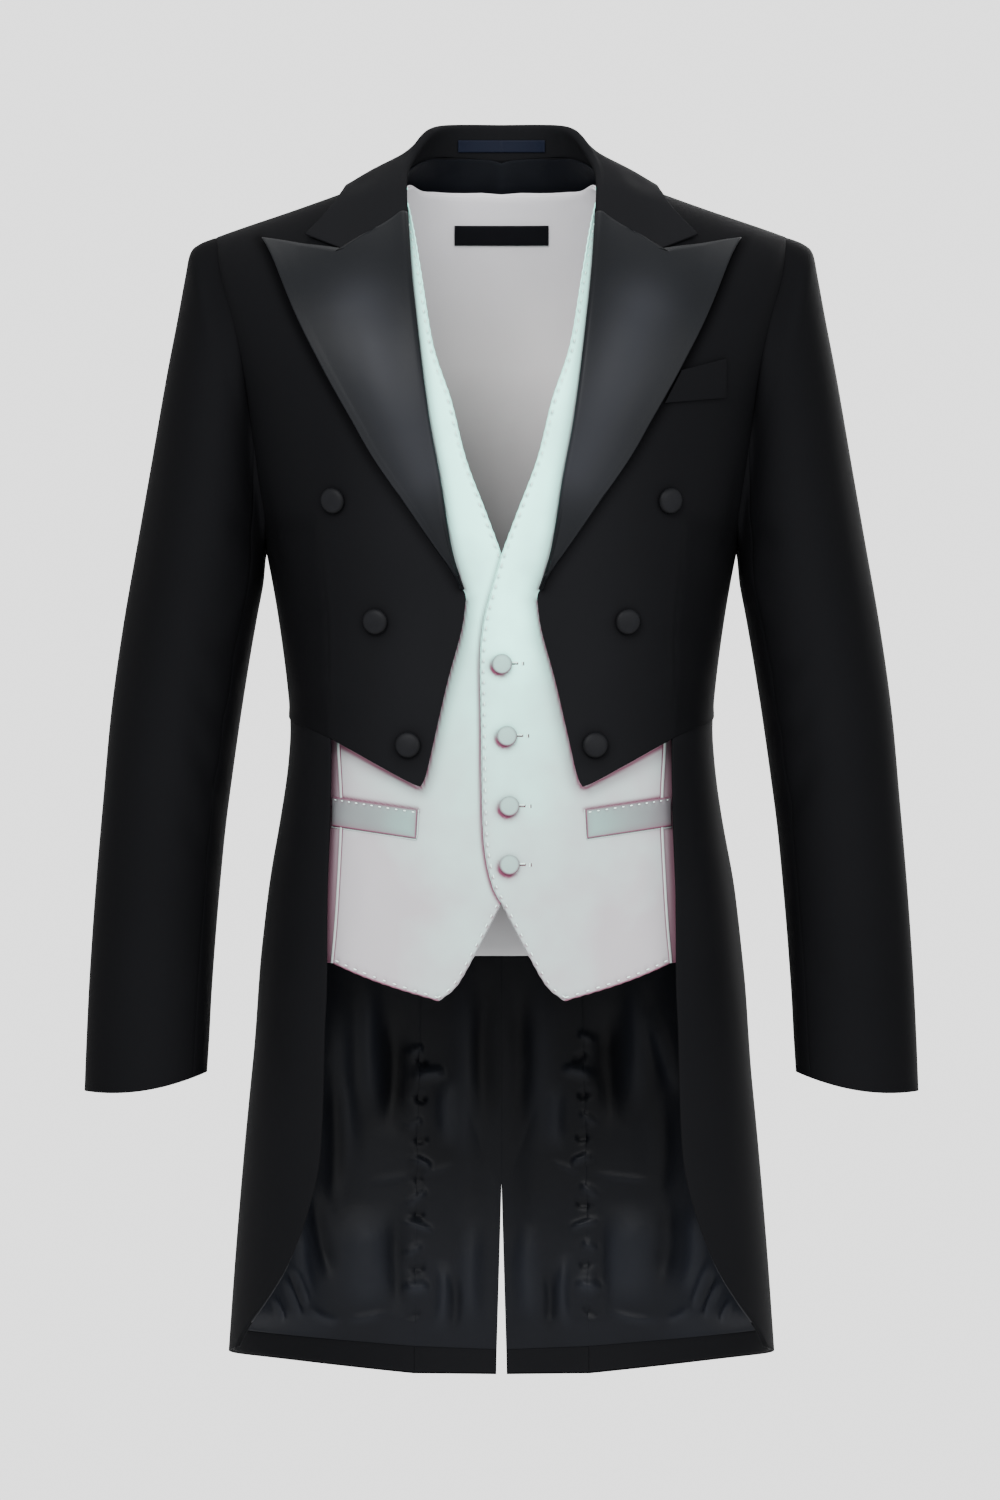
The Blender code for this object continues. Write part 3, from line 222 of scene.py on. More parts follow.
gridEdges = {   # each edge, and the line of points inside it
    "top": (np.s_[0], np.s_[1]), "bottom": (np.s_[-1], np.s_[-2]),
    "left": (np.s_[:, 0], np.s_[:, 1]), "right": (np.s_[:, -1], np.s_[:, -2]),
}


class Panel:
    # The face of a piece of cloth: a grid of points, and the way out at each.
    def __init__(self, points, normals):
        self.points = points
        self.normals = normals

    def trimmed(self, **amounts):  # moves edges in, or out where the amount is below 0
        points = self.points.copy()
        for name, amount in amounts.items():
            edge, inner = gridEdges[name]
            points[edge] = points[edge] + unit(self.points[inner] - self.points[edge]) * amount
        return Panel(points, self.normals)

    def cut(self, span):  # some of its rows and columns
        return Panel(self.points[span], self.normals[span])

    def mirrored(self):
        return Panel(self.points * flipped, self.normals * flipped)

    def on(self, side):  # as made on the left, mirrored on the right
        return self if side == "L" else self.mirrored()

    def beside(self, other):  # with another that goes on from its last column
        return Panel(np.concatenate((self.points, other.points[:, 1:]), axis=1),
                     np.concatenate((self.normals, other.normals[:, 1:]), axis=1))

    def movedOut(self, distance):
        return Panel(self.points + self.normals * distance, self.normals)

    def inside(self, thickness=0.0):  # the inner side of cloth that thick
        return Panel(self.points - self.normals * thickness, -self.normals)

    def raised(self, heights):  # moves each point out by its own height
        points = self.points + self.normals * heights[..., None]
        return Panel(points, facing(points, self.normals))

    def tree(self):
        quads = gridQuads(*self.points.shape[:2])
        return BVHTree.FromPolygons(self.points.reshape(-1, 3).tolist(), quads.tolist())


def facing(points, guide, closed=False):  # directions square to a grid, on the guide's side
    down = np.gradient(points, axis=0)
    if closed:
        across = np.roll(points, -1, axis=1) - np.roll(points, 1, axis=1)
    else:
        across = np.gradient(points, axis=1)
    normals = unit(np.cross(across, down))
    wrong = np.sum(normals * guide, axis=-1, keepdims=True) < 0
    return np.where(wrong, -normals, normals)


def onBody(spots, inset=0.0):
    return Panel(bodyPoints(spots, inset), bodyNormals(spots, inset))


# Creases: soft troughs and ridges along lines on a piece

def nearLine(points, line):  # how far each point lies from a line, and where along it
    best = np.full(points.shape[:-1], np.inf)
    along = np.zeros(points.shape[:-1])
    reach = spacing(line)
    for k in range(len(line) - 1):
        way = line[k + 1] - line[k]
        t = np.clip(((points - line[k]) @ way) / max(way @ way, 1e-12), 0.0, 1.0)
        distance = np.linalg.norm(points - (line[k] + t[..., None] * way), axis=-1)
        closer = distance < best
        best = np.where(closer, distance, best)
        along = np.where(closer, reach[k] + t * (reach[k + 1] - reach[k]), along)
    return best, along


def fading(distance, width):
    return np.exp(-(distance / width)**2)


creaseCells, creaseTaper = 14, 0.38     # how finely its line runs, and the share that each end fades over


def creaseHeights(panel, place, table):
    # Each row: two numbers for each place that the crease runs through, its width, and its height or depth.
    heights = np.zeros(panel.points.shape[:-1])
    for *places, width, height in table:
        line = smoothLine(creaseCells, place(np.reshape(places, (-1, 2))))
        distance, along = nearLine(panel.points, line)
        taper = ease(along / creaseTaper) * ease((1 - along) / creaseTaper)
        heights += height * taper * fading(distance, width)
    return heights


def frontPlace(inset=0.0):
    return lambda places: bodyPoints(seen(places, inset), inset)


def backPlace(inset=0.0):
    return lambda places: bodyPoints(seen(places, inset, behind=True), inset)


def anglePlace(places):
    return bodyPoints(byAngle(places))


def addNode(tree, kind, settings, inputs):  # its settings first, then the values or links of its sockets
    node = tree.nodes.new(kind)
    for setting, value in settings.items():
        if setting == "stops":
            elements = node.color_ramp.elements
            while len(elements) < len(value):
                elements.new(0.5)
            for element, (position, colour) in zip(elements, value):
                element.position = position
                element.color = colour
        else:
            setattr(node, setting, value)
    for socket, value in inputs.items():
        if isinstance(value, bpy.types.NodeSocket):
            tree.links.new(value, node.inputs[socket])
        else:
            node.inputs[socket].default_value = value
    return node


# Shader maths: a socket that can be used in sums

def mathsOf(operation):
    return lambda self, other: self.maths(operation, self, other)


def mathsFrom(operation):  # the reflected form
    return lambda self, other: self.maths(operation, other, self)


class Field:
    def __init__(self, surface, socket):
        self.surface = surface
        self.socket = socket

    def maths(self, operation, *values):
        return self.surface.node("ShaderNodeMath", {"operation": operation}, dict(enumerate(values)))

    __add__, __radd__ = mathsOf("ADD"), mathsFrom("ADD")
    __sub__, __rsub__ = mathsOf("SUBTRACT"), mathsFrom("SUBTRACT")
    __mul__, __rmul__ = mathsOf("MULTIPLY"), mathsFrom("MULTIPLY")
    atMost, atLeast = mathsOf("MINIMUM"), mathsOf("MAXIMUM")

    def __abs__(self):
        return self.maths("ABSOLUTE", self)

    def sine(self):
        return self.maths("SINE", self)


class Surface:
    # A material, its shader, and the one way in which its nodes are made.
    def __init__(self, name, **fixed):
        self.material = bpy.data.materials.new(name)
        self.material.use_nodes = True
        self.tree = self.material.node_tree
        self.shader = self.tree.nodes["Principled BSDF"]
        for socket, value in fixed.items():
            self.shader.inputs[socket.replace("_", " ")].default_value = value

    def node(self, kind, settings, inputs, output=0):
        inputs = {socket: getattr(value, "socket", value) for socket, value in inputs.items()}
        return Field(self, addNode(self.tree, kind, settings, inputs).outputs[output])

    def drive(self, socket, field):
        self.tree.links.new(field.socket, self.shader.inputs[socket])

    def mixed(self, share, first, second):  # a colour between two
        return self.node("ShaderNodeMix", {"data_type": "RGBA"}, {0: share, 6: first, 7: second}, 2)

    def ramp(self, share, stops):
        return self.node("ShaderNodeValToRGB", {"stops": stops}, {"Fac": share})

    # each point's painted shading: painted shade on wool and buttons, painted sheen on satin, painted shade
    # and light on linings, painted mauve shadow on pale cloth
    def tint(self):
        return self.node("ShaderNodeAttribute", {"attribute_name": "tint"}, {}, "Fac")

    def clothPlace(self):
        return self.node("ShaderNodeUVMap", {"uv_map": "cloth"}, {})

    def objectPlace(self):
        return self.node("ShaderNodeTexCoord", {}, {}, "Object")

    def noise(self, place, scale, detail=3.0):
        return self.node("ShaderNodeTexNoise", {}, {"Vector": place, "Scale": scale, "Detail": detail})

    def parts(self, vector, axes):
        return [self.node("ShaderNodeSeparateXYZ", {}, {0: vector}, axis) for axis in axes]

    def bump(self, height, strength, depth, under=None):
        inputs = {"Height": height, "Strength": strength, "Distance": depth}
        if under is not None:
            inputs["Normal"] = under
        return self.node("ShaderNodeBump", {}, inputs)


def ribs(surface, place, threads, across, down):  # fine ribs that run aslant over the cloth
    x, y = surface.parts(place, "XY")
    return ((x * across + y * down) * (threads * 2 * math.pi)).sine()


def linen(surface, place, threads):  # threads over and under
    x, y = surface.parts(place, "XY")
    return (x * (threads * 2 * math.pi)).sine() * (y * (threads * 2 * math.pi)).sine()


def paintedShadingColour(surface, look, cloud, fuzz):  # two tones in clouds, and a third where the painted shading is strong: painted shade on wool, painted sheen on satin
    share = cloud * look["cloudShare"] + fuzz * (1 - look["cloudShare"])
    return surface.mixed(surface.tint(), surface.mixed(share, look["dark"], look["light"]), look["tinted"])


def liningColour(surface, look, cloud):  # painted shade where it sinks in, painted light where it stands out
    height = surface.tint() * look["byTint"] + cloud * look["byCloud"] - look["least"]
    return surface.mixed(height.atMost(1.0).atLeast(0.0), look["hollow"], look["crown"])


def paleColour(surface, look, cloud, fuzz):  # painted light and shade: mint high up and near the middle, else a darker lilac grey, with random clouds; painted mauve shadow where the painted shading is strong
    x, z = surface.parts(surface.objectPlace(), "XZ")
    fall = z * look["rise"] + look["start"] - abs(x) * look["across"] + (cloud - 0.5) * look["mottle"]
    return surface.mixed(surface.tint(), surface.ramp(fall, look["stops"]), look["mauve"])


# the lining's grey, with painted shade and painted light by height from the hem, and random clouds
def paleLiningColour(surface, look, cloud):
    z = surface.parts(surface.objectPlace(), "Z")[0]
    height = (z - look["hem"]) * (1 / look["length"]) + (cloud - 0.5) * look["mottle"]
    return surface.ramp(height, look["stops"])


def clothSurface(name, look, colour, weave):
    surface = Surface(name, Specular_IOR_Level=look["specular"])
    place = surface.clothPlace()
    layers = [surface.noise(surface.objectPlace(), *look["cloud"])]
    height = weave(surface, place, *look["weave"])
    if "fuzz" in look:
        layers.append(surface.noise(place, *look["fuzz"]))
        height = height * look["weaveHeight"] + layers[1]
    surface.drive("Base Color", colour(surface, look, *layers))
    roughness = look["roughness"][0]
    for layer, share in zip(layers, look["roughness"][1:]):
        roughness = roughness + layer * share
    surface.drive("Roughness", roughness)
    surface.drive("Normal", surface.bump(height, *look["fine"], surface.bump(layers[0], *look["broad"])))
    return surface.material


# Each look: the weave's threads to a metre, scale and detail of its clouds and fuzz, the least roughness
# and what clouds and fuzz add to it, and strength and depth of its fine and broad bumps

woolLook = {   # its painted shading says how far it lies in the shade, painted in its third colour
    "dark": (0.0026, 0.0027, 0.0031, 1), "light": (0.0052, 0.0053, 0.0060, 1),
    "tinted": (0.0006, 0.0006, 0.0008, 1), "cloudShare": 0.6,
    "specular": 0.02, "weave": (900.0, 1.0, 1.6), "weaveHeight": 0.35, "cloud": (9.0, 4.0),
    "fuzz": (1400.0, 2.0), "roughness": (0.74, 0.10, 0.08), "fine": (0.25, 0.0003), "broad": (0.25, 0.002),
}
satinLook = {   # its painted shading says how far it shines: a painted sheen, in its third colour
    "dark": (0.0022, 0.0025, 0.0031, 1), "light": (0.0044, 0.0049, 0.0058, 1),
    "tinted": (0.0100, 0.0107, 0.0128, 1), "cloudShare": 0.7,
    "specular": 0.05, "weave": (1250.0, 0.12, 1.0), "weaveHeight": 0.5, "cloud": (14.0, 3.0),
    "fuzz": (520.0, 3.0), "roughness": (0.35, 0.08, 0.05), "fine": (0.12, 0.0002), "broad": (0.18, 0.003),
}
liningLook = {   # its painted shading says how far it stands out: painted shade in the hollows, painted light on the crowns
    "hollow": (0.0006, 0.0006, 0.0008, 1), "crown": (0.0066, 0.0074, 0.0098, 1),
    "byTint": 0.85, "byCloud": 0.30, "least": 0.08,
    "specular": 0.045, "weave": (1100.0,), "cloud": (20.0, 4.0), "roughness": (0.30, 0.16),
    "fine": (0.08, 0.0002), "broad": (0.30, 0.004),
}
paleLook = {   # its painted shading says how strong its painted mauve shadow is; its stops paint light high up and near the middle, and shade lower down and to the sides
    "stops": ((0.0, (0.240, 0.232, 0.245, 1)), (0.35, (0.270, 0.372, 0.355, 1)),
              (0.70, (0.310, 0.610, 0.540, 1)), (1.0, (0.410, 0.940, 0.810, 1))),
    "rise": 2.4, "start": 1.66, "across": 4.4, "mottle": 0.9, "mauve": (0.092, 0.018, 0.043, 1),
    "specular": 0.20, "weave": (700.0,), "weaveHeight": 0.5, "cloud": (14.0, 3.0), "fuzz": (900.0, 2.0),
    "roughness": (0.58, 0.08, 0.06), "fine": (0.14, 0.0002), "broad": (0.20, 0.003),
}
# The welt, ridges and buttons take the same painted light and shade by height; the welt's stops are darker,
# painted shade, and fall off fast towards the side
weltLook = dict(paleLook, stops=((0.0, (0.085, 0.078, 0.086, 1)), (0.45, (0.108, 0.132, 0.132, 1)),
                                 (1.0, (0.130, 0.230, 0.210, 1))), start=2.95, across=14.0)
ridgeLook = dict(paleLook, stops=((0.0, (0.27, 0.32, 0.31, 1)), (1.0, (0.31, 0.48, 0.44, 1))))
buttonLook = dict(paleLook, stops=((0.0, (0.175, 0.245, 0.232, 1)), (1.0, (0.195, 0.335, 0.305, 1))))
paleLiningLook = {
    "stops": (   # height from the hem up, colour: the lining's grey, with painted shade darkest in the middle heights and painted light towards the top and the hem
        (0.00, (0.46, 0.46, 0.47, 1)), (0.065, (0.36, 0.36, 0.37, 1)), (0.12, (0.20, 0.195, 0.20, 1)),
        (0.56, (0.135, 0.125, 0.127, 1)), (0.67, (0.31, 0.292, 0.294, 1)), (0.77, (0.50, 0.475, 0.480, 1)),
        (0.90, (0.43, 0.415, 0.435, 1)), (1.00, (0.47, 0.46, 0.485, 1))),
    "hem": -0.60, "length": 0.62, "mottle": 0.05,
    "specular": 0.3, "weave": (800.0, 1.0, 0.9), "cloud": (16.0, 3.0), "roughness": (0.45, 0.12),
    "fine": (0.10, 0.0002), "broad": (0.25, 0.004),
}


def coveredButtonSurface():
    surface = Surface("coveredButton", Specular_IOR_Level=0.045)
    place = surface.objectPlace()
    weave, cloud = surface.noise(place, 2600.0, 2.0), surface.noise(place, 120.0)
    colour = surface.mixed(cloud, (0.0026, 0.0027, 0.0032, 1), (0.0044, 0.0046, 0.0055, 1))
    # painted shade round the rim and below, where the painted shading is strong
    surface.drive("Base Color", surface.mixed(surface.tint(), colour, woolLook["tinted"]))
    surface.drive("Roughness", 0.40 + weave * 0.14)
    surface.drive("Normal", surface.bump(weave, 0.30, 0.0002))
    return surface.material


def labelSurface(name, dark, light):
    surface = Surface(name, Specular_IOR_Level=0.06)
    place = surface.clothPlace()
    slub = surface.noise(place, 700.0, 2.0)
    surface.drive("Base Color", surface.mixed(slub, dark, light))
    surface.drive("Roughness", 0.50 + slub * 0.10)
    surface.drive("Normal", surface.bump(linen(surface, place, 1000.0), 0.2, 0.0002))
    return surface.material


def threadSurface(name, dark, light, roughness):
    surface = Surface(name, Specular_IOR_Level=0.3)
    strands = surface.noise(surface.objectPlace(), 3000.0, 2.0)
    surface.drive("Base Color", surface.mixed(strands, dark, light))
    surface.drive("Roughness", roughness + strands * 0.12)
    surface.drive("Normal", surface.bump(strands, 0.3, 0.0001))
    return surface.material


finishes = {
    "wool": clothSurface("wool", woolLook, paintedShadingColour, ribs),
    "satin": clothSurface("satin", satinLook, paintedShadingColour, ribs),
    "covered_button": coveredButtonSurface(),
    "black_lining": clothSurface("blackLining", liningLook, liningColour, linen),
    "pale_cloth": clothSurface("paleCloth", paleLook, paleColour, linen),
    "pale_lining": clothSurface("paleLining", paleLiningLook, paleLiningColour, ribs),
    "navy_label": labelSurface("navyLabel", (0.0018, 0.0028, 0.0070, 1), (0.0026, 0.0040, 0.0100, 1)),
    "black_label": labelSurface("blackLabel", (0.0014, 0.0014, 0.0022, 1), (0.0024, 0.0024, 0.0036, 1)),
}
weltCloth = clothSurface("weltCloth", weltLook, paleColour, linen)
ridgeCloth = clothSurface("ridgeCloth", ridgeLook, paleColour, linen)
buttonCloth = clothSurface("buttonCloth", buttonLook, paleColour, linen)
print("finishes made:", len(finishes))


def addPiece(name, mesh, slotName, nodes, finish=None):
    mesh.materials.append(finish or finishes[slotName])
    piece = bpy.data.objects.new(name, mesh)
    bpy.context.scene.collection.objects.link(piece)
    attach(piece, "root")
    if nodes:
        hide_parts(*nodes)
    return piece


def edgeGaps(points):  # how far each point lies from each edge of its grid, along the cloth
    u, v = reaches(points, 1), reaches(points, 0)
    return {"left": u, "right": u[:, -1:] - u, "top": v, "bottom": v[-1:] - v}


# stores each point's painted shading for its material to read
def setPaintedShading(mesh, values):
    layer = mesh.attributes.new("tint", "FLOAT", "POINT")
    layer.data.foreach_set("value", np.asarray(values, np.float32))


sheets = []
rollCorner = 0.29   # how far in a rolled edge is, in parts of its roll, half way round its corner


def clothWall(name, panel, thickness, slotName, nodes=(), tint=0.0, held=None, finish=None):
    # A closed sheet: the panel is its face, its thickness lies behind it, and its edges are rolled.
    roll = cloth["liningRoll"] if slotName == "black_lining" else min(cloth["edgeRoll"], thickness * 0.4)
    rows, columns = panel.points.shape[:2]
    beside = np.zeros_like(panel.points)
    for edge, inner in gridEdges.values():
        beside[edge] += unit(panel.points[edge] - panel.points[inner])
    face = panel.points - beside * roll
    index = np.arange(rows * columns).reshape(rows, columns)
    rim = np.concatenate((index[0], index[1:, -1], index[-1, -2::-1], index[-2:0:-1, 0]))
    edge, aside, out = (grid.reshape(-1, 3)[rim] for grid in (panel.points, beside, panel.normals))
    corner = roll * rollCorner
    rings = [edge - aside * inward - out * depth for inward, depth in (
        (corner, corner), (0.0, roll), (0.0, thickness - roll), (corner, thickness - corner))]
    back = face - panel.normals * thickness
    vertices = np.concatenate([face.reshape(-1, 3), back.reshape(-1, 3)] + rings)
    count, length = rows * columns, len(rim)
    quads = gridQuads(rows, columns)
    faces = [quads, quads[:, ::-1] + count]
    loops = [rim] + [2 * count + k * length + np.arange(length) for k in range(4)] + [rim + count]
    for first, second in zip(loops, loops[1:]):
        faces.append(np.stack((first, np.roll(first, -1), np.roll(second, -1), second), axis=-1))
    faces = np.concatenate(faces)
    i, j = rows // 2, columns // 2
    own = np.cross(face[i + 1, j] - face[i, j], face[i, j + 1] - face[i, j])
    if own @ panel.normals[i, j] < 0:
        faces = faces[:, ::-1]
    mesh = bpy.data.meshes.new(name)
    mesh.from_pydata(vertices.tolist(), [], faces.tolist())
    mesh.update()
    mesh.shade_smooth()
    gaps = edgeGaps(panel.points)
    flat = np.stack((gaps["left"], gaps["top"]), axis=-1).reshape(-1, 2)
    places = np.concatenate([flat, flat] + [flat[rim]] * 4)
    corners = np.empty(len(mesh.loops), dtype=np.int32)
    mesh.loops.foreach_get("vertex_index", corners)
    layer = mesh.uv_layers.new(name="cloth")
    layer.data.foreach_set("uv", places[corners].astype(np.float32).ravel())
    # painted shading for the face, the back and the rolled edges
    shade = np.clip(np.broadcast_to(tint, (rows, columns)), 0.0, 1.0).ravel()
    setPaintedShading(mesh, np.concatenate([shade, shade] + [shade[rim]] * 4))
    piece = addPiece(name, mesh, slotName, nodes, finish)
    if held:
        size = float(gaps["left"][:, -1].max()), float(gaps["top"][-1].max())
        cells = np.cross(np.diff(face, axis=0)[:, :-1], np.diff(face, axis=1)[:-1])
        area = float(np.linalg.norm(cells, axis=-1).sum())
        sheets.append({"piece": piece, "flat": size, "area": area, "held": held})


def onSide(side, name, panel, thickness, slotName, node=None, **how):  # a panel made on the left
    nodes = [node + "_" + side.lower()] if node else []
    clothWall(name + side, panel.on(side), thickness, slotName, nodes, **how)


def onBothSides(*piece, **how):
    for side in "LR":
        onSide(side, *piece, **how)


# The coat

coat = {
    "detail": {"front": 9, "side": 6, "back": 5, "tail": 6, "sleeve": 5, "lining": 24, "neckLining": 8},
    "hemStep": 4,               # the turned-up hems have one row for each four of the linings'
    "rollLine": ((0.0705, -0.0095), (0.0647, -0.0746), (0.0547, -0.1550), (0.0447, -0.2110),
                 (0.0367, -0.2610), (0.0274, -0.2915)),
    "underLapel": (0.0270, -0.2945),
    "frontEdge": ((0.0264, -0.2985), (0.0298, -0.3225), (0.0399, -0.3590), (0.0489, -0.3975),
                  (0.0562, -0.4290), (0.0603, -0.4377)),
    "cutaway": ((0.0603, -0.4377), (0.0679, -0.4347), (0.0922, -0.4216), (0.1123, -0.4104),
                (0.1275, -0.4020)),
    "waistFront": ((0.1275, -0.4020), (0.1422, -0.3946)),
    "waistSide": ((81.0, -0.3890), (95.0, -0.3840)),
    "waistBack": ((95.0, -0.3840), (125.0, -0.3850), (160.0, -0.3880)),
    "armholeFront": ((0.2105, -0.0500), (0.1996, -0.0918), (0.1920, -0.1290), (0.1854, -0.1770),
                     (0.1800, -0.2164)),
    "armholeLow": ((80.0, -0.2500), (95.0, -0.2620)),
    "armholeSide": ((95.0, -0.2620), (106.0, -0.2480), (114.0, -0.2150)),
    "armholeBack": ((114.0, -0.2150), (112.5, -0.1500), (108.0, -0.0900), (100.0, -0.0480)),
    "sideBackSeam": ((114.0, -0.2150), (128.0, -0.2750), (146.0, -0.3350), (160.0, -0.3880)),
    "neckBack": ((0.0001, 0.0310), (0.0400, 0.0330), (0.0680, 0.0270)),
    "neckFront": (0.0790, 0.0060),
    "neckPoint": 0.0780,
    "shoulderPoint": 0.2130,
    "tailFront": ((0.1275, -0.4020), (0.1302, -0.5654), (0.1317, -0.6179), (0.1334, -0.6836),
                  (0.1367, -0.7231), (0.1444, -0.7537), (0.1520, -0.7757), (0.1631, -0.7998),
                  (0.1772, -0.8216), (0.1880, -0.8360)),
    "tailCorner": (0.1985, -0.8555),
    "tailSeam": ((0.0570, -0.5000), (0.0630, -0.6500), (0.0660, -0.8585)),
    "tailSeamHem": (0.0662, -0.8790),
    "ventTop": -0.735, "ventHalf": 0.0040,
    "hemSide": ((96.0, -0.8600), (126.0, -0.8670)),
    "facingSide": ((96.0, -0.8420), (126.0, -0.8490)),
    "hemCentre": -0.8797, "facingCentre": -0.8610,
    "evenFrom": 3, "evenOver": 4,   # the solid's rows over which the back's columns even out
    "label": (0.0330, 0.0460, 0.0370),  # half width, top, bottom
    "breastWelt": ((0.1338, -0.1285), (0.1675, -0.1198), (0.1675, -0.1491), (0.1212, -0.1532)),
}


def coatLines(f):  # the seams and edges of the left half, with f cells to each of the solid's
    ridgeEnd, backEnd = onRidge(coat["shoulderPoint"]), onRidge(coat["shoulderPoint"], True)
    neckPoint, neckBackPoint = onRidge(coat["neckPoint"]), onRidge(coat["neckPoint"], True)
    waistBack = byAngle(coat["waistBack"])
    return {
        "shoulder": smoothLine(6 * f, neckPoint, ridgeEnd),
        "neckBack": smoothLine(5 * f, seen(coat["neckBack"], behind=True), neckBackPoint),
        "armholeFront": smoothLine(8 * f, ridgeEnd, seen(coat["armholeFront"]), byAngle(coat["armholeLow"])),
        "armholeSide": smoothLine(4 * f, byAngle(coat["armholeSide"])),
        "armholeBack": smoothLine(5 * f, byAngle(coat["armholeBack"]), backEnd),
        "side": smoothLine(6 * f, byAngle((coat["armholeSide"][0], coat["waistBack"][0]))),
        "sideBack": smoothLine(6 * f, byAngle(coat["sideBackSeam"])),
        "waistFront": smoothLine(5 * f, seen(coat["waistFront"]), byAngle(coat["waistSide"])),
        "waistSide": smoothLine(4 * f, waistBack),
        "tailSeam": smoothLine(9 * f, waistBack[-1], seen(coat["tailSeam"], behind=True)),
    }


def frontPanel():
    f = coat["detail"]["front"]
    lines = coatLines(f)
    rollLine = np.array(coat["rollLine"])
    share = (rollLine[0, 1] - rollLine[:, 1]) / (rollLine[0, 1] - rollLine[-1, 1])
    rollLine[:, 0] += rollRadius(share) + lapel["clearance"] * (1 - share**6)
    roll, edge = smoothLine(8 * f, seen(rollLine)), smoothLine(5 * f, seen(coat["frontEdge"]))
    left = joined(roll, smoothLine(f, roll[-1], seen(coat["underLapel"]), edge[0]), edge)
    right = joined(lines["armholeFront"], lines["side"])
    neck = smoothLine(3 * f, roll[0], seen(coat["neckFront"]), onRidge(coat["neckPoint"]))
    bottom = joined(smoothLine(4 * f, seen(coat["cutaway"])), lines["waistFront"])
    seam = cloth["join"]
    spots = patch(joined(neck, lines["shoulder"]), bottom, left, right)
    return onBody(spots).trimmed(top=seam, bottom=seam, right=seam), neck


def sidePanel():
    lines = coatLines(coat["detail"]["side"])
    seam = cloth["join"]
    spots = patch(lines["armholeSide"], lines["waistSide"], lines["side"], lines["sideBack"])
    return onBody(spots).trimmed(bottom=seam, left=seam, right=seam)


def backPanel(f):
    lines = coatLines(f)
    heights = coat["neckBack"][0][1], coat["waistBack"][-1][1], coat["ventTop"]
    neck, waist, ventTop = byAngle([(180.0, height) for height in heights])
    ventEnd = seen((coat["ventHalf"] * 0.9, coat["facingCentre"]), behind=True)
    ventHem = seen((coat["ventHalf"], coat["hemCentre"]), behind=True)
    centre = joined(smoothLine(11 * f, neck, waist), smoothLine(6 * f, waist, ventTop),
                    smoothLine(3 * f, ventTop, ventEnd))
    outer = joined(lines["armholeBack"][::-1], lines["sideBack"], lines["tailSeam"])
    shoulder = np.array((180.0, 0.0)) + lines["shoulder"] * np.array((-1.0, 1.0))
    top = joined(lines["neckBack"], shoulder)
    spots = evened(patch(top, smoothLine(11 * f, ventEnd, outer[-1]), centre, outer), f)
    hemSeam = seen(coat["tailSeamHem"], behind=True)
    return onBody(withHem(spots, smoothLine(11 * f, ventHem, hemSeam), f))


def evened(spots, f):  # spreads the columns evenly lower down, where the neck's corner would crowd them
    reach = reaches(spots, 1, spotScale)
    even = np.array([readAt(np.linspace(0, far[-1], len(far)), far, row) for far, row in zip(reach, spots)])
    share = ease((np.arange(len(spots)) / f - coat["evenFrom"]) / coat["evenOver"])[:, None, None]
    return spots + (even - spots) * share


def withHem(spots, bottom, f):  # adds a strip below a patch, down to the hem
    strip = [spots[-1] + (bottom - spots[-1]) * k / f for k in range(1, f + 1)]
    return np.concatenate((spots, np.array(strip)))


def tailPanel(f):
    lines = coatLines(f)
    front = smoothLine(9 * f, seen(coat["tailFront"]))
    outer = lines["tailSeam"]
    top = joined(lines["waistFront"], lines["waistSide"])
    foot = smoothLine(9 * f, front[-1], byAngle(coat["facingSide"]), outer[-1])
    hem = smoothLine(9 * f, seen(coat["tailCorner"]), byAngle(coat["hemSide"]),
                     seen(coat["tailSeamHem"], behind=True))
    return onBody(withHem(patch(top, foot, front, outer), hem, f))


sleeve = {
    "rings": (   # outer x, outer z, inner x, inner z, middle y, half depth, share of the armhole's shape
        (0.2130, -0.0280, 0.1762, -0.2620, 0.0020, 0.0520, 1.00),
        (0.2255, -0.0330, 0.1768, -0.2700, 0.0020, 0.0570, 0.60),
        (0.2325, -0.0400, 0.1771, -0.2780, 0.0010, 0.0610, 0.32),
        (0.2362, -0.0580, 0.1778, -0.2870, 0.0000, 0.0640, 0.14),
        (0.2420, -0.0900, 0.1795, -0.2970, -0.0010, 0.0665, 0.04),
        (0.2504, -0.1340, 0.1825, -0.3130, -0.0020, 0.0680, 0.0),
        (0.2608, -0.1940, 0.1877, -0.3430, -0.0030, 0.0680, 0.0),
        (0.2713, -0.2540, 0.1940, -0.3830, -0.0045, 0.0665, 0.0),
        (0.2824, -0.3180, 0.1998, -0.4240, -0.0070, 0.0640, 0.0),
        (0.2912, -0.3820, 0.2053, -0.4660, -0.0110, 0.0610, 0.0),
        (0.2969, -0.4460, 0.2094, -0.5080, -0.0170, 0.0580, 0.0),
        (0.3023, -0.5100, 0.2129, -0.5500, -0.0250, 0.0550, 0.0),
        (0.3066, -0.5740, 0.2158, -0.5920, -0.0350, 0.0520, 0.0),
        (0.3088, -0.6200, 0.2173, -0.6220, -0.0430, 0.0505, 0.0),
        (0.3104, -0.6640, 0.2190, -0.6500, -0.0510, 0.0500, 0.0)),
    "angles": (0, 22, 45, 68, 92, 118, 141, 161, 180, 199, 217, 234, 250, 272, 294, 316, 338, 360),
    "forearm": 6, "hindarm": 12, "cuffDroop": 0.0060, "headSink": -0.0006, "headTuck": 0.0012,
    "headRings": 2.0,   # over these the creases come in
}
sleeveRings = np.array(sleeve["rings"])


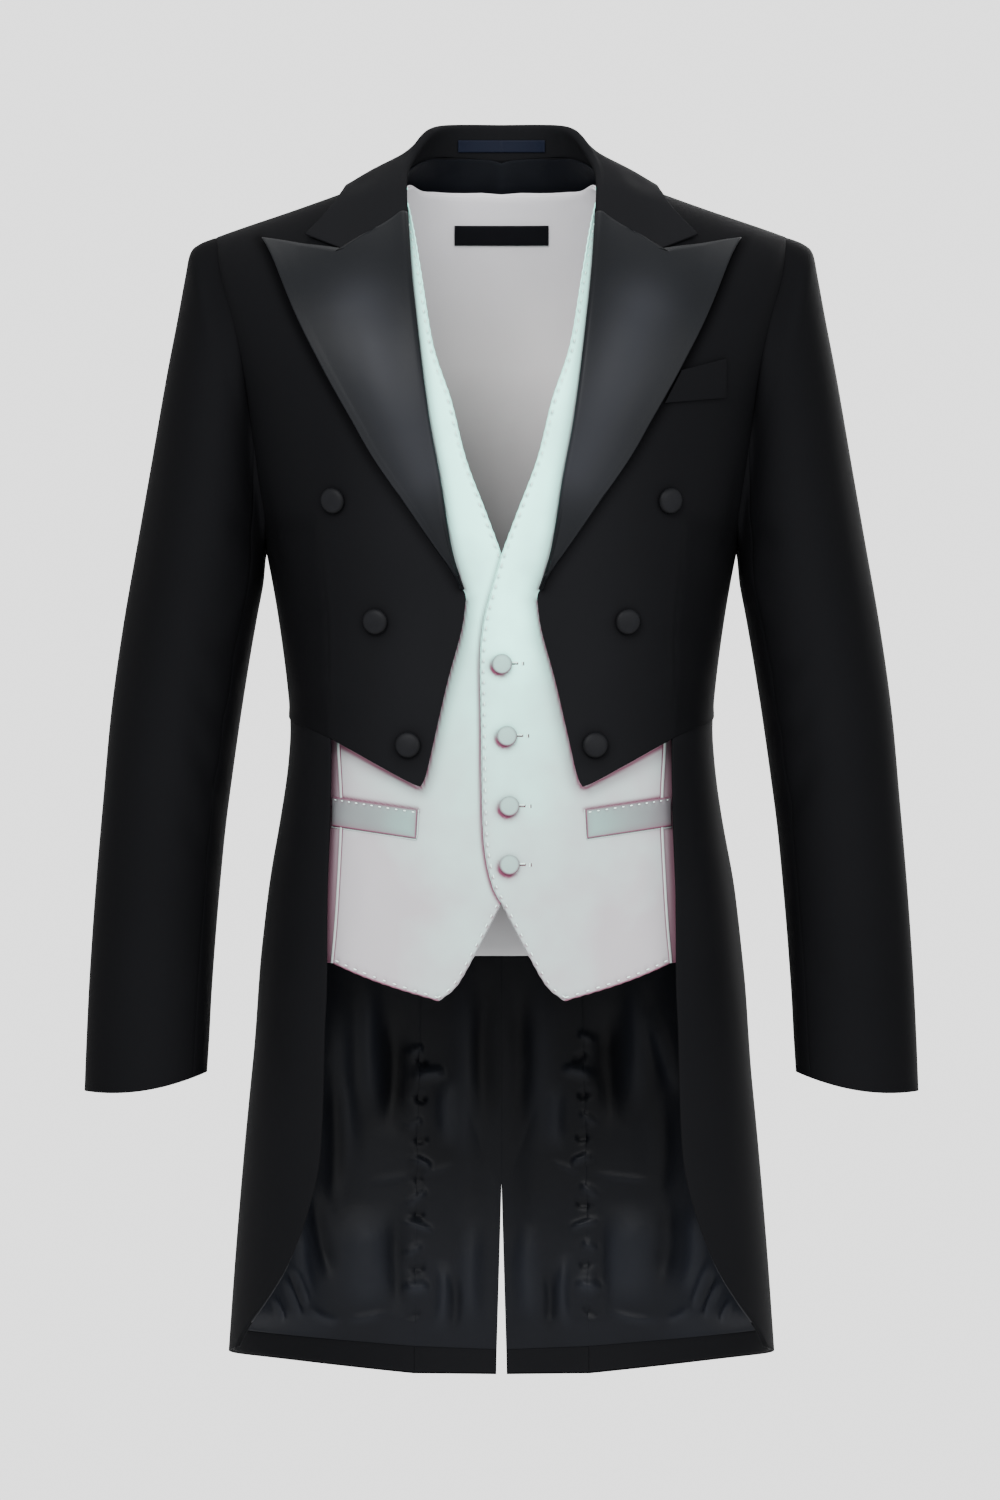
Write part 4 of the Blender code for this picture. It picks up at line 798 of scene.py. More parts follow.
def sleevePoints(rings, angles):  # rings counts from the armhole, angles run from the shoulder forwards
    table = through(np.arange(len(sleeveRings)), sleeveRings, np.asarray(rings, float))
    outer = np.stack((table[..., 0], 0 * table[..., 0], table[..., 1]), axis=-1)
    inner = np.stack((table[..., 2], 0 * table[..., 0], table[..., 3]), axis=-1)
    middle = (outer + inner) / 2
    middle[..., 1] += table[..., 4]
    swing, lie = np.sin(angles * turn), np.cos(angles * turn)
    points = middle + (outer - inner) / 2 * lie[..., None]
    points[..., 1] -= table[..., 5] * swing
    points[..., 2] -= sleeve["cuffDroop"] * (rings / (len(sleeveRings) - 1))**4 * swing**2
    return points, np.clip(table[..., 6], 0, 1)


def sleevePanels(table):
    f = coat["detail"]["sleeve"]
    lines = coatLines(f)
    loop = joined(lines["armholeFront"], lines["armholeSide"], lines["armholeBack"])[:-1]
    seam, seamOut = bodyPoints(loop), bodyNormals(loop)
    angles = np.interp(np.arange(len(loop)) / f, np.arange(len(sleeve["angles"])), sleeve["angles"])
    rings = np.linspace(0, len(sleeveRings) - 1, (len(sleeveRings) - 1) * f + 1)
    ringGrid, angleGrid = np.meshgrid(rings, angles, indexing="ij")
    points, share = sleevePoints(ringGrid, angleGrid)
    plain = sleevePoints(0 * ringGrid[:1], angleGrid[:1])[0]
    points = points + (seam - plain[0])[None] * share[..., None]
    points[0] = seam
    middle = points.mean(axis=1, keepdims=True)
    normals = facing(points, points - middle, closed=True)
    whole = Panel(points, normals)
    heights = creaseHeights(whole, lambda places: sleevePoints(places[:, 0], places[:, 1])[0], table)
    points = points + normals * (heights * ease(rings / sleeve["headRings"])[:, None])[..., None]
    normals = facing(points, normals, closed=True)
    points[0] = seam + seamOut * sleeve["headSink"] - unit(points[2] - seam) * sleeve["headTuck"]
    top = list(range(sleeve["hindarm"] * f, len(loop))) + list(range(0, sleeve["forearm"] * f + 1))
    under = list(range(sleeve["forearm"] * f, sleeve["hindarm"] * f + 1))
    return [Panel(points[:, chosen], normals[:, chosen]) for chosen in (top, under)]


# Lapels and collar

lapel = {
    "radius": 0.0040, "radiusLow": 0.0032, "radiusFoot": 0.0014, "footFrom": 0.78, "clearance": 0.0005,
    "leg": 0.0050, "legLow": 0.0012,
    "parts": (0.31, 0.62, 0.82, 1.0),
    "top": ((0.0950, -0.0240), (0.1168, -0.0388), (0.1480, -0.0335), (0.1787, -0.0284)),
    "edge": ((0.1787, -0.0284), (0.1700, -0.0450), (0.1537, -0.0850), (0.1347, -0.1230),
             (0.1147, -0.1590), (0.0967, -0.1910), (0.0760, -0.2215), (0.0602, -0.2445),
             (0.0475, -0.2625), (0.0382, -0.2752), (0.0303, -0.2885)),
    "rows": 12, "peakRows": 4, "detail": 8, "foldDetail": 2, "faceDetail": 10,
    "edgeLift": 0.0020, "rim": 0.00025, "rimAt": 0.0045, "rimWidth": 0.0020, "belly": 0.0014,
}


def rollRadius(share):  # of the lapel's fold, easing to a point at its foot
    radius = lapel["radius"] + (lapel["radiusLow"] - lapel["radius"]) * share
    low = ease((share - lapel["footFrom"]) / (1 - lapel["footFrom"]))
    return radius + (lapel["radiusFoot"] - lapel["radiusLow"]) * low


def foldPoints(extreme, up, out, radius, steps):
    # A half turn of cloth: up is towards the fold, out towards the side that shows.
    centre = extreme - up * radius
    turns = np.pi * (1 - np.arange(steps + 1) / steps)
    ways = out[..., None, :] * np.cos(turns)[:, None] + up[..., None, :] * np.sin(turns)[:, None]
    radius = np.asarray(radius)[..., None] if np.ndim(radius) else radius
    return centre[..., None, :] + ways * radius, ways


def rollSections(f):
    spots = smoothLine(lapel["rows"] * f, seen(coat["rollLine"]))
    points, out = bodyPoints(spots), bodyNormals(spots)
    tangents = unit(np.gradient(points, axis=0))
    aside = unit(np.cross(tangents, out))
    aside = np.where(aside[:, :1] < 0, -aside, aside)
    share = np.linspace(0, 1, len(spots))
    middle = points - out * (cloth["coat"] / 2)
    fold, ways = foldPoints(middle, -aside, out, rollRadius(share)[:, None], 4 * lapel["foldDetail"])
    return fold, ways, aside, share


def lapelPanel():
    f, faceDetail = lapel["detail"], lapel["faceDetail"]
    inset = -(cloth["lay"] + cloth["satin"])
    fold, ways, aside, share = rollSections(f)
    leg = (lapel["leg"] * (1 - share) + lapel["legLow"])[:, None]
    start = fold[:, 0] + aside * leg
    foot = fold[:, -1]
    inside = seen(foot[:, [0, 2]], inset)
    lift = np.linalg.norm(foot - bodyPoints(inside, inset), axis=-1)
    outer = smoothLine(lapel["rows"] * f, seen(lapel["edge"], inset))
    parts = np.array((0.0,) + lapel["parts"])
    u = np.concatenate([np.linspace(a, b, faceDetail + 1)[1:] for a, b in zip(parts, parts[1:])])
    # The upper edge bends out to the peak, and the rows below it take up the bend
    bend = np.maximum(0.0, 1 - share * lapel["rows"] / lapel["peakRows"])**1.5
    tip, rollTop = np.array(lapel["top"][-1]), coat["rollLine"][0][1]
    places = inside[:, None] + (outer - inside)[:, None] * u[:, None]
    straightX = foot[:, 0, None] + (tip[0] - foot[:, 0, None]) * u
    straightZ = np.broadcast_to(rollTop + (tip[1] - rollTop) * u, straightX.shape)
    straight = seen(np.stack((straightX, straightZ), axis=-1), inset)
    topShape = readAt(u, parts, np.vstack((inside[:1], seen(lapel["top"], inset))))
    places = places + (topShape[None] - straight) * bend[:, None, None]
    places[0] = topShape
    # It lies on the collar's leaf at the top and on the front elsewhere, with a belly and a rim
    high = (cloth["leaf"] + cloth["coat"]) - (cloth["lay"] + cloth["satin"])
    topRise = np.interp(u, parts, (lift[0], high, high, 0.0, 0.0))
    rise = lift[:, None] * (1 - u)**2
    rise = rise + (topRise - rise) * (bend**0.7)[:, None]
    loose = (np.sin(np.pi * share)**0.8)[:, None]
    belly = lapel["belly"] * np.sin(np.pi * u)**2 * (1 - bend[:, None])
    rise = rise + loose * (lapel["edgeLift"] * u**3 + belly)
    toEdge = np.abs(outer - inside)[:, :1] * figure["girth"] * (1 - u)
    rise = rise + lapel["rim"] * loose * ease(1 - (toEdge - lapel["rimAt"]) / lapel["rimWidth"])
    normals = bodyNormals(places, inset)
    points = bodyPoints(places, inset) + normals * rise[..., None]
    points = np.concatenate((start[:, None], fold, points), axis=1)
    return Panel(points, facing(points, np.concatenate((ways[:, :1], ways, normals), axis=1)))


collar = {
    "edge": ((180.0, 0.0100), (168.0, 0.0095), (157.0, 0.0085)),
    "edgeRidge": 0.1120,
    "edgeFront": ((0.1235, -0.0010), (0.1350, -0.0125), (0.1460, -0.0260)),
    "foldBack": ((0.0, 0.0570, 0.0575), (0.0250, 0.0500, 0.0575), (0.0430, 0.0370, 0.0568),
                 (0.0535, 0.0220, 0.0530), (0.0600, 0.0110, 0.0450), (0.0655, 0.0, 0.0340)),
    "foldFront": ((0.0655, 0.0, 0.0340), (0.0700, -0.0170, 0.0235), (0.0710, -0.0360, 0.0115)),
    "radius": 0.0034, "bow": 0.0020, "detail": 8, "standDetail": 4, "backCells": 5, "frontCells": 3,
}


def collarPanel(lapelGrid, neckFrontSpots):
    back, front = collar["backCells"], collar["frontCells"]
    inset = -(cloth["leaf"] + cloth["coat"])
    neckSpots = joined(coatLines(1)["neckBack"], neckFrontSpots[::coat["detail"]["front"]][::-1])
    neck, neckOut = bodyPoints(neckSpots), bodyNormals(neckSpots)
    lapelRow = lapelGrid.points[0]
    foldSteps = 4 * lapel["foldDetail"]
    gorgeFold = lapelRow[1:foldSteps + 2]
    foldBack = smoothLine(back, collar["foldBack"], shares=spacing(neck[:back + 1]))
    foldFront = smoothLine(front, collar["foldFront"], gorgeFold[foldSteps // 2], shares=spacing(neck[back:]))
    folds = joined(foldBack, foldFront)
    ridgeAngle = onRidge(collar["edgeRidge"], True)[0]
    edgeBack = smoothLine(back, collar["edge"], (ridgeAngle, ridgeHeight(ridgeAngle, inset)))
    edgeFront = smoothLine(front, onRidge(collar["edgeRidge"]), seen(collar["edgeFront"], inset))
    edgeSpots = np.vstack((byAngle(edgeBack, inset), edgeFront[1:]))
    edge, edgeOut = bodyPoints(edgeSpots, inset), bodyNormals(edgeSpots, inset)
    last = len(folds) - 1
    stand, face = collar["standDetail"], lapel["faceDetail"]
    rows = []
    for k in range(last + 1):
        along = unit(folds[min(k + 1, last)] - folds[max(k - 1, 0)]) if k else np.array((1.0, 0.0, 0.0))
        base = neck[k] - neckOut[k] * cloth["coat"]
        lift = folds[k] - base
        base = base + unit(lift - neckOut[k] * (lift @ neckOut[k])) * cloth["seam"]
        towards = edge[k] - folds[k]
        up = unit(folds[k] - base)
        up = unit(up - along * (up @ along))
        aside = towards - along * (towards @ along)
        aside = unit(aside - up * (aside @ up))
        fold = gorgeFold if k == last else foldPoints(folds[k], up, aside, collar["radius"], foldSteps)[0]
        leaf = []
        for part in lapel["parts"][:2]:
            if k > back:
                foot = seen(fold[-1][[0, 2]], inset)
                rise = np.linalg.norm(fold[-1] - bodyPoints(foot, inset)) * (1 - part)**2
                place = foot + (edgeSpots[k] - foot) * part
                leaf.append(bodyPoints(place, inset) + bodyNormals(place, inset) * rise)
            else:
                bow = collar["bow"] * 4 * part * (1 - part)
                leaf.append(fold[-1] + (edge[k] - fold[-1]) * part + edgeOut[k] * bow)
        points = np.vstack((base, (base + fold[0]) / 2, fold, leaf, edge[k]))
        row = refined(points, [stand, stand] + [1] * foldSteps + [face] * 3)
        if k == last:   # the gorge, shared with the lapel, then straight to the front corner
            start = 2 * stand
            shared = lapelRow[1:foldSteps + 2 + 2 * face]
            row[start:start + len(shared)] = shared
            tail = np.linspace(0, 1, face + 1)[1:, None]
            row[start + len(shared):] = shared[-1] + (edge[k] - shared[-1]) * tail
        rows.append(row)
    rows = np.array(rows)
    fine = np.stack([refined(rows[:, j], [collar["detail"]] * last) for j in range(rows.shape[1])], axis=1)
    whole = np.concatenate(((fine * flipped)[::-1][:-1], fine))
    normals = unit(np.cross(np.gradient(whole, axis=1), np.gradient(whole, axis=0)))
    if normals[len(whole) // 2, -3] @ edgeOut[0] < 0:
        normals = -normals
    return Panel(whole, normals)


# Creases, one side at a time because no two are alike: the places each runs through, its width, its height

creases = {
    "bodyL": (    # angle, z
        (66.0, -0.190, 72.0, -0.235, 70.0, -0.285, 0.013, -0.0018),
        (52.0, -0.262, 66.0, -0.272, 80.0, -0.262, 0.010, 0.0011),
        (44.0, -0.330, 62.0, -0.322, 84.0, -0.330, 0.011, -0.0012),
        (40.0, -0.368, 58.0, -0.356, 78.0, -0.362, 0.010, 0.0010),
        (98.0, -0.300, 112.0, -0.322, 128.0, -0.352, 0.013, -0.0022),
        (92.0, -0.345, 110.0, -0.362, 134.0, -0.371, 0.011, 0.0014),
        (120.0, -0.180, 132.0, -0.225, 140.0, -0.290, 0.014, -0.0020),
        (150.0, -0.350, 163.0, -0.372, 173.0, -0.405, 0.013, -0.0014),
        (118.0, -0.420, 124.0, -0.520, 121.0, -0.640, 0.020, -0.0030),
        (146.0, -0.450, 152.0, -0.580, 149.0, -0.730, 0.024, 0.0026),
        (88.0, -0.430, 92.0, -0.540, 90.0, -0.660, 0.020, 0.0024),
        (104.0, -0.600, 108.0, -0.700, 106.0, -0.810, 0.018, 0.0022)),
    "bodyR": (
        (68.0, -0.200, 73.0, -0.250, 69.0, -0.300, 0.012, -0.0017),
        (50.0, -0.250, 62.0, -0.262, 78.0, -0.254, 0.011, 0.0010),
        (46.0, -0.318, 60.0, -0.312, 80.0, -0.322, 0.012, -0.0013),
        (38.0, -0.375, 56.0, -0.364, 80.0, -0.366, 0.009, 0.0010),
        (96.0, -0.290, 110.0, -0.315, 130.0, -0.342, 0.012, -0.0020),
        (94.0, -0.352, 114.0, -0.366, 136.0, -0.374, 0.011, 0.0013),
        (122.0, -0.170, 131.0, -0.220, 143.0, -0.300, 0.015, -0.0021),
        (152.0, -0.345, 162.0, -0.366, 172.0, -0.395, 0.012, -0.0013),
        (116.0, -0.430, 120.0, -0.540, 118.0, -0.670, 0.022, -0.0028),
        (144.0, -0.440, 148.0, -0.560, 151.0, -0.700, 0.022, 0.0028),
        (90.0, -0.420, 86.0, -0.520, 89.0, -0.640, 0.021, 0.0022),
        (106.0, -0.620, 103.0, -0.720, 107.0, -0.820, 0.018, 0.0020)),
    "sleeveL": (  # ring, angle
        (2.0, 156.0, 3.6, 128.0, 5.6, 104.0, 0.012, -0.0022),
        (3.0, 168.0, 4.6, 144.0, 6.2, 130.0, 0.010, 0.0014),
        (6.4, 158.0, 7.0, 118.0, 7.2, 76.0, 0.011, -0.0024),
        (7.4, 164.0, 7.9, 124.0, 7.8, 84.0, 0.009, -0.0022),
        (7.0, 140.0, 7.4, 112.0, 7.5, 92.0, 0.008, 0.0012),
        (9.0, 166.0, 8.8, 130.0, 8.3, 96.0, 0.011, -0.0024),
        (11.3, 146.0, 11.8, 104.0, 11.6, 62.0, 0.012, -0.0013),
        (7.1, 214.0, 7.5, 256.0, 7.3, 306.0, 0.013, -0.0026),
        (8.5, 212.0, 8.6, 262.0, 9.0, 304.0, 0.012, -0.0023),
        (2.4, 208.0, 3.8, 240.0, 5.4, 268.0, 0.013, -0.0026),
        (10.4, 226.0, 10.8, 262.0, 10.6, 296.0, 0.014, -0.0014),
        (4.4, 34.0, 7.0, 26.0, 9.4, 38.0, 0.020, -0.0012)),
    "sleeveR": (
        (2.2, 150.0, 3.4, 126.0, 5.2, 100.0, 0.012, -0.0023),
        (3.3, 166.0, 4.8, 142.0, 6.6, 126.0, 0.010, 0.0013),
        (6.1, 160.0, 6.6, 120.0, 6.9, 80.0, 0.010, -0.0022),
        (7.3, 162.0, 7.6, 126.0, 7.5, 90.0, 0.010, -0.0024),
        (8.5, 168.0, 8.5, 132.0, 8.1, 92.0, 0.010, -0.0022),
        (9.9, 160.0, 9.6, 124.0, 9.3, 100.0, 0.010, -0.0014),
        (11.7, 140.0, 12.0, 100.0, 11.8, 66.0, 0.012, -0.0012),
        (6.8, 216.0, 7.2, 258.0, 7.1, 300.0, 0.013, -0.0025),
        (8.2, 214.0, 8.4, 260.0, 8.8, 308.0, 0.012, -0.0024),
        (2.6, 210.0, 3.6, 244.0, 5.0, 272.0, 0.013, -0.0025),
        (10.0, 228.0, 10.3, 264.0, 10.2, 300.0, 0.014, -0.0013),
        (4.8, 28.0, 7.2, 32.0, 9.8, 30.0, 0.020, -0.0013)),
    "lapel": (    # x, z
        (0.098, -0.060, 0.092, -0.120, 0.074, -0.180, 0.016, 0.0008),
        (0.120, -0.075, 0.110, -0.110, 0.098, -0.140, 0.010, -0.0004)),
    "liningL": (   # x, z on the lining's inner side, so height is towards the viewer
        (0.081, -0.598, 0.079, -0.648, 0.088, -0.700, 0.0085, -0.0038),
        (0.098, -0.570, 0.104, -0.620, 0.101, -0.690, 0.0090, 0.0032),
        (0.112, -0.600, 0.124, -0.640, 0.136, -0.676, 0.0060, 0.0028),
        (0.120, -0.660, 0.124, -0.710, 0.118, -0.760, 0.0080, -0.0022),
        (0.1180, -0.7345, 0.090, -0.7315, 0.0655, -0.7285, 0.0022, 0.0014),
        (0.098, -0.746, 0.096, -0.790, 0.101, -0.836, 0.0190, 0.0040),
        (0.077, -0.755, 0.075, -0.792, 0.079, -0.842, 0.0055, -0.0026),
        (0.124, -0.735, 0.127, -0.776, 0.121, -0.818, 0.0075, -0.0032),
        (0.1440, -0.750, 0.1475, -0.786, 0.1400, -0.822, 0.0065, 0.0034),
        (0.1605, -0.7920, 0.1530, -0.8105, 0.1450, -0.8320, 0.0030, 0.0034),
        (0.1690, -0.8060, 0.1610, -0.8215, 0.1545, -0.8390, 0.0026, 0.0036),
        (0.1770, -0.8200, 0.1715, -0.8310, 0.1650, -0.8412, 0.0024, 0.0028),
        (0.1650, -0.8000, 0.1575, -0.8160, 0.1500, -0.8350, 0.0022, -0.0024),
        (0.1466, -0.8290, 0.1350, -0.8360, 0.1234, -0.8395, 0.0034, 0.0024),
        (0.1234, -0.8395, 0.0990, -0.8380, 0.0769, -0.8300, 0.0032, 0.0018),
        (0.0640, -0.7280, 0.048, -0.7240, 0.0360, -0.7180, 0.0022, 0.0012),
        (0.046, -0.655, 0.041, -0.686, 0.044, -0.716, 0.0075, 0.0028),
        (0.028, -0.565, 0.031, -0.640, 0.027, -0.730, 0.0110, 0.0022),
        (0.011, -0.575, 0.014, -0.650, 0.009, -0.710, 0.0080, -0.0022),
        (0.022, -0.760, 0.018, -0.800, 0.023, -0.848, 0.0080, 0.0026),
        (0.050, -0.786, 0.046, -0.820, 0.051, -0.850, 0.0048, 0.0028),
        (0.035, -0.796, 0.037, -0.826, 0.034, -0.850, 0.0040, -0.0022)),
    "liningR": (
        (0.083, -0.605, 0.080, -0.655, 0.087, -0.705, 0.0080, -0.0040),
        (0.099, -0.575, 0.102, -0.630, 0.098, -0.690, 0.0085, 0.0034),
        (0.118, -0.585, 0.121, -0.660, 0.112, -0.735, 0.0095, 0.0024),
        (0.128, -0.640, 0.126, -0.700, 0.130, -0.760, 0.0060, -0.0024),
        (0.1005, -0.7359, 0.084, -0.7322, 0.0683, -0.7301, 0.0022, 0.0014),
        (0.102, -0.748, 0.104, -0.790, 0.099, -0.838, 0.0180, 0.0042),
        (0.078, -0.750, 0.080, -0.790, 0.076, -0.840, 0.0060, -0.0026),
        (0.1437, -0.735, 0.1380, -0.774, 0.1292, -0.812, 0.0060, -0.0042),
        (0.1500, -0.760, 0.1525, -0.791, 0.1440, -0.826, 0.0050, 0.0032),
        (0.1600, -0.7950, 0.1540, -0.8120, 0.1466, -0.8300, 0.0028, 0.0034),
        (0.1670, -0.8030, 0.1600, -0.8200, 0.1525, -0.8385, 0.0026, 0.0036),
        (0.1757, -0.8180, 0.1700, -0.8300, 0.1641, -0.8410, 0.0024, 0.0030),
        (0.1630, -0.7990, 0.1570, -0.8160, 0.1495, -0.8345, 0.0022, -0.0024),
        (0.1495, -0.8290, 0.1360, -0.8370, 0.1205, -0.8395, 0.0034, 0.0024),
        (0.1205, -0.8395, 0.1020, -0.8370, 0.0857, -0.8317, 0.0032, 0.0020),
        (0.0683, -0.7301, 0.050, -0.7270, 0.0334, -0.7214, 0.0022, 0.0014),
        (0.040, -0.650, 0.043, -0.680, 0.039, -0.712, 0.0070, 0.0030),
        (0.030, -0.560, 0.027, -0.640, 0.031, -0.740, 0.0110, 0.0024),
        (0.012, -0.570, 0.015, -0.640, 0.010, -0.700, 0.0080, -0.0020),
        (0.020, -0.760, 0.024, -0.800, 0.022, -0.850, 0.0080, 0.0024),
        (0.046, -0.790, 0.044, -0.820, 0.048, -0.852, 0.0050, 0.0028),
        (0.036, -0.800, 0.034, -0.826, 0.037, -0.852, 0.0040, -0.0020)),
    "neckLining": (
        (0.000, 0.034, 0.001, 0.020, 0.000, -0.004, 0.0022, 0.0016),
        (0.0045, 0.034, 0.005, 0.022, 0.006, 0.002, 0.0022, 0.0008)),
}


puckers = {   # where the tails' linings are caught by their seams: z, reach in and out, slant, width, height
    "L": (
        (-0.6250, 0.005, 0.009, 0.50, 0.0028, 0.0026), (-0.6390, 0.010, 0.005, -0.60, 0.0026, -0.0022),
        (-0.6530, 0.020, 0.008, 0.22, 0.0040, 0.0038), (-0.6690, 0.007, 0.006, -0.50, 0.0030, -0.0030),
        (-0.6860, 0.006, 0.010, 0.70, 0.0028, 0.0024), (-0.7010, 0.009, 0.004, -0.20, 0.0030, -0.0026),
        (-0.7160, 0.013, 0.006, -0.45, 0.0028, 0.0034), (-0.7400, 0.006, 0.010, 0.80, 0.0030, 0.0028),
        (-0.7520, 0.010, 0.005, 0.10, 0.0026, -0.0026), (-0.7660, 0.015, 0.011, -0.30, 0.0028, 0.0036),
        (-0.7820, 0.005, 0.010, 0.60, 0.0030, 0.0024), (-0.7960, 0.008, 0.006, -0.30, 0.0034, -0.0026),
        (-0.8130, 0.012, 0.014, 0.15, 0.0046, 0.0036), (-0.8310, 0.006, 0.008, 0.90, 0.0030, -0.0022)),
    "R": (
        (-0.6343, 0.004, 0.009, 0.60, 0.0028, 0.0030), (-0.6440, 0.008, 0.005, -0.30, 0.0026, -0.0026),
        (-0.6546, 0.023, 0.006, 0.12, 0.0042, 0.0040), (-0.6720, 0.008, 0.005, -0.40, 0.0032, -0.0030),
        (-0.6895, 0.005, 0.010, 0.60, 0.0028, 0.0024), (-0.7040, 0.010, 0.004, 0.20, 0.0030, -0.0024),
        (-0.7185, 0.013, 0.005, -0.50, 0.0028, 0.0036), (-0.7330, 0.006, 0.005, 0.30, 0.0026, -0.0020),
        (-0.7475, 0.009, 0.009, 0.90, 0.0030, 0.0030), (-0.7590, 0.008, 0.006, -0.20, 0.0028, -0.0028),
        (-0.7678, 0.015, 0.012, -0.30, 0.0026, 0.0036), (-0.7852, 0.006, 0.010, 0.70, 0.0030, 0.0028),
        (-0.8000, 0.009, 0.007, 0.10, 0.0034, -0.0028), (-0.8143, 0.013, 0.012, 0.10, 0.0048, 0.0038),
        (-0.8340, 0.005, 0.007, 0.80, 0.0030, -0.0020)),
}


def seamPuckers(side):  # as crease lines
    seamLine = np.array(coat["tailSeam"])
    table = []
    for z, inward, outward, slant, width, height in puckers[side]:
        x = float(np.interp(-z, -seamLine[:, 1], seamLine[:, 0]))
        table.append((x - inward, z + inward * slant, x, z, x + outward, z - outward * slant, width, height))
    return tuple(table)


dart = ((0.1384, -0.2276), (0.1341, -0.2751), (0.1302, -0.3153), (0.1291, -0.3612), (0.1281, -0.3996))
dartSeam = (    # its trough, and a ridge on its inner side, as crease lines
    (*np.ravel(dart), 0.0018, -0.0010), (*np.ravel(np.array(dart) - (0.0028, 0.0)), 0.0018, 0.0005))


shades = {   # painted shade of the wool: facing forwards, and turned to the side
    "side": (0.46, -2.6), "back": (0.15, 0.30), "tail": (0.26, 0.42), "topSleeve": (0.42, 0.76),
    "underSleeve": (0.45, 0.80),
    "frontFrom": 0.050, "frontWidth": 0.085, "frontMost": 0.46,
    "beyondDart": 0.14, "dartWidth": 0.0012, "dartFade": 0.02,
    "underLapel": 0.50, "underLapelWidth": 0.0045, "underLapelShift": (0.0015, -0.0015),
    "button": 0.55, "buttonWidth": 0.0120, "buttonShift": (0.0010, -0.0030), "besideButton": 0.5,
    "breastWelt": 0.42,
    # the line along which the lapels' painted sheen runs, and its width
    "satin": ((0.1040, -0.0820), (0.0880, -0.1240), (0.0660, -0.1740), (0.0540, -0.2020)),
    "satinSheenWidth": 0.024,
}
flare = {"height": 0.0009, "reach": 0.006, "from": 0.128, "over": 0.014}   # over the tail, at the waist seam


def flatLine(cells, outline, shift=(0.0, 0.0)):  # an outline in x and z, as a line in space
    return smoothLine(cells, [(x + shift[0], 0.0, z + shift[1]) for x, z in outline])


def frontShade(panel):  # painted shade: darker towards the side and beyond the dart, with painted shadows under the lapel and round the buttons
    x, z = panel.points[..., 0], panel.points[..., 2]
    line = np.array(dart)
    beyond = ease((x - np.interp(-z, -line[:, 1], line[:, 0])) / shades["dartWidth"])
    beyond = beyond * ease((dart[0][1] - z) / shades["dartFade"])
    shade = shades["frontMost"] * ease((x - shades["frontFrom"]) / shades["frontWidth"])
    shade = shade + shades["beyondDart"] * beyond
    flat = panel.points * forwards
    distance = nearLine(flat, flatLine(60, lapel["edge"], shades["underLapelShift"]))[0]
    shade = shade + shades["underLapel"] * fading(distance, shades["underLapelWidth"])
    across, down = shades["buttonShift"]
    places = np.array([(x + across, 0.0, z + down) for label, x, z in buttons["coat"][:3]])
    nearButton = shades["button"] * around(flat, places, shades["buttonWidth"])
    return np.maximum(shade, shade * shades["besideButton"] + nearButton)


# painted shade by how far each panel faces forwards, and on the side panel by how far back it lies
def woolShade(panel, name):
    if name == "front":
        return frontShade(panel)
    first, second = shades[name]
    if name == "side":
        return first + second * panel.points[..., 1]
    return second + (first - second) * panel.normals[..., 1]**2


def buildBody(side, panels):
    for name, panel in panels:
        heights = creaseHeights(panel, anglePlace, creases["body" + side])
        if name == "front":
            heights = heights + creaseHeights(panel, frontPlace(), dartSeam)
        if name in ("front", "side"):
            low = fading(edgeGaps(panel.points)["bottom"], flare["reach"])
            beside = ease((panel.points[..., 0] - flare["from"]) / flare["over"])
            heights = heights + flare["height"] * low * beside
        shown = panel.raised(heights)
        onSide(side, name, shown, cloth["coat"], "wool", "coat_" + name, tint=woolShade(shown, name),
               held="draped")


def buildSleeve(side):
    seam = cloth["join"]
    names = (("topSleeve", "top_sleeve"), ("underSleeve", "under_sleeve"))
    for (name, node), panel in zip(names, sleevePanels(creases["sleeve" + side])):
        panel = panel.trimmed(left=seam, right=seam)
        onSide(side, name, panel, cloth["coat"], "wool", node, tint=woolShade(panel, name), held="draped")


def buildLapel(side, lapels):
    shown = lapels.trimmed(top=cloth["join"])
    # a painted sheen in a band along the lapel
    distance = nearLine(shown.points * forwards, flatLine(40, shades["satin"]))[0]
    onSide(side, "lapel", shown, cloth["satin"], "satin", "coat_lapel",
           tint=fading(distance, shades["satinSheenWidth"]), held="folded")


def buildCoat():
    seam, flat = cloth["join"], -(cloth["lay"] + cloth["satin"])
    front, neckSpots = frontPanel()
    back = backPanel(coat["detail"]["back"]).trimmed(top=seam, left=seam, right=seam)
    tail = tailPanel(coat["detail"]["tail"]).trimmed(top=seam, right=seam)
    lapels = lapelPanel()
    lapels = lapels.raised(creaseHeights(lapels, frontPlace(flat), creases["lapel"]))
    for side in "LR":
        buildBody(side, (("front", front), ("side", sidePanel()), ("back", back), ("tail", tail)))
        buildSleeve(side)
        buildLapel(side, lapels)
    collarGrid = collarPanel(lapels, neckSpots)
    shown = collarGrid.trimmed(top=2 * seam, bottom=2 * seam)
    clothWall("collar", shown, cloth["coat"], "wool", ["coat_collar"], held="folded")
    return collarGrid


linings = {
    "underWaistcoat": 12,               # the row of the solid where the back's linings start
    "every": {"back": 4, "tail": 2},    # the lining has one column for each four or two of the panel's
    "marginFolds": 0.006, "marginLoose": 0.022, "ventFade": (0.01, 0.08), "ventSide": 0.032,
    "deepest": -0.0004,
    "crown": 165, "hollow": 62, "even": 0.27,       # its painted shading, by metres of height, and where flat: painted light on crowns, painted shade in hollows
    # painted light: paler towards the hem and the front corners
    "lowFrom": -0.71, "lowOver": 0.10, "low": 0.19, "cornerFrom": 0.115, "cornerOver": 0.03, "corner": 0.22,
    "neckCrown": 150, "neckEven": 0.50, "neckRows": 3, "neckColumns": 5,
}


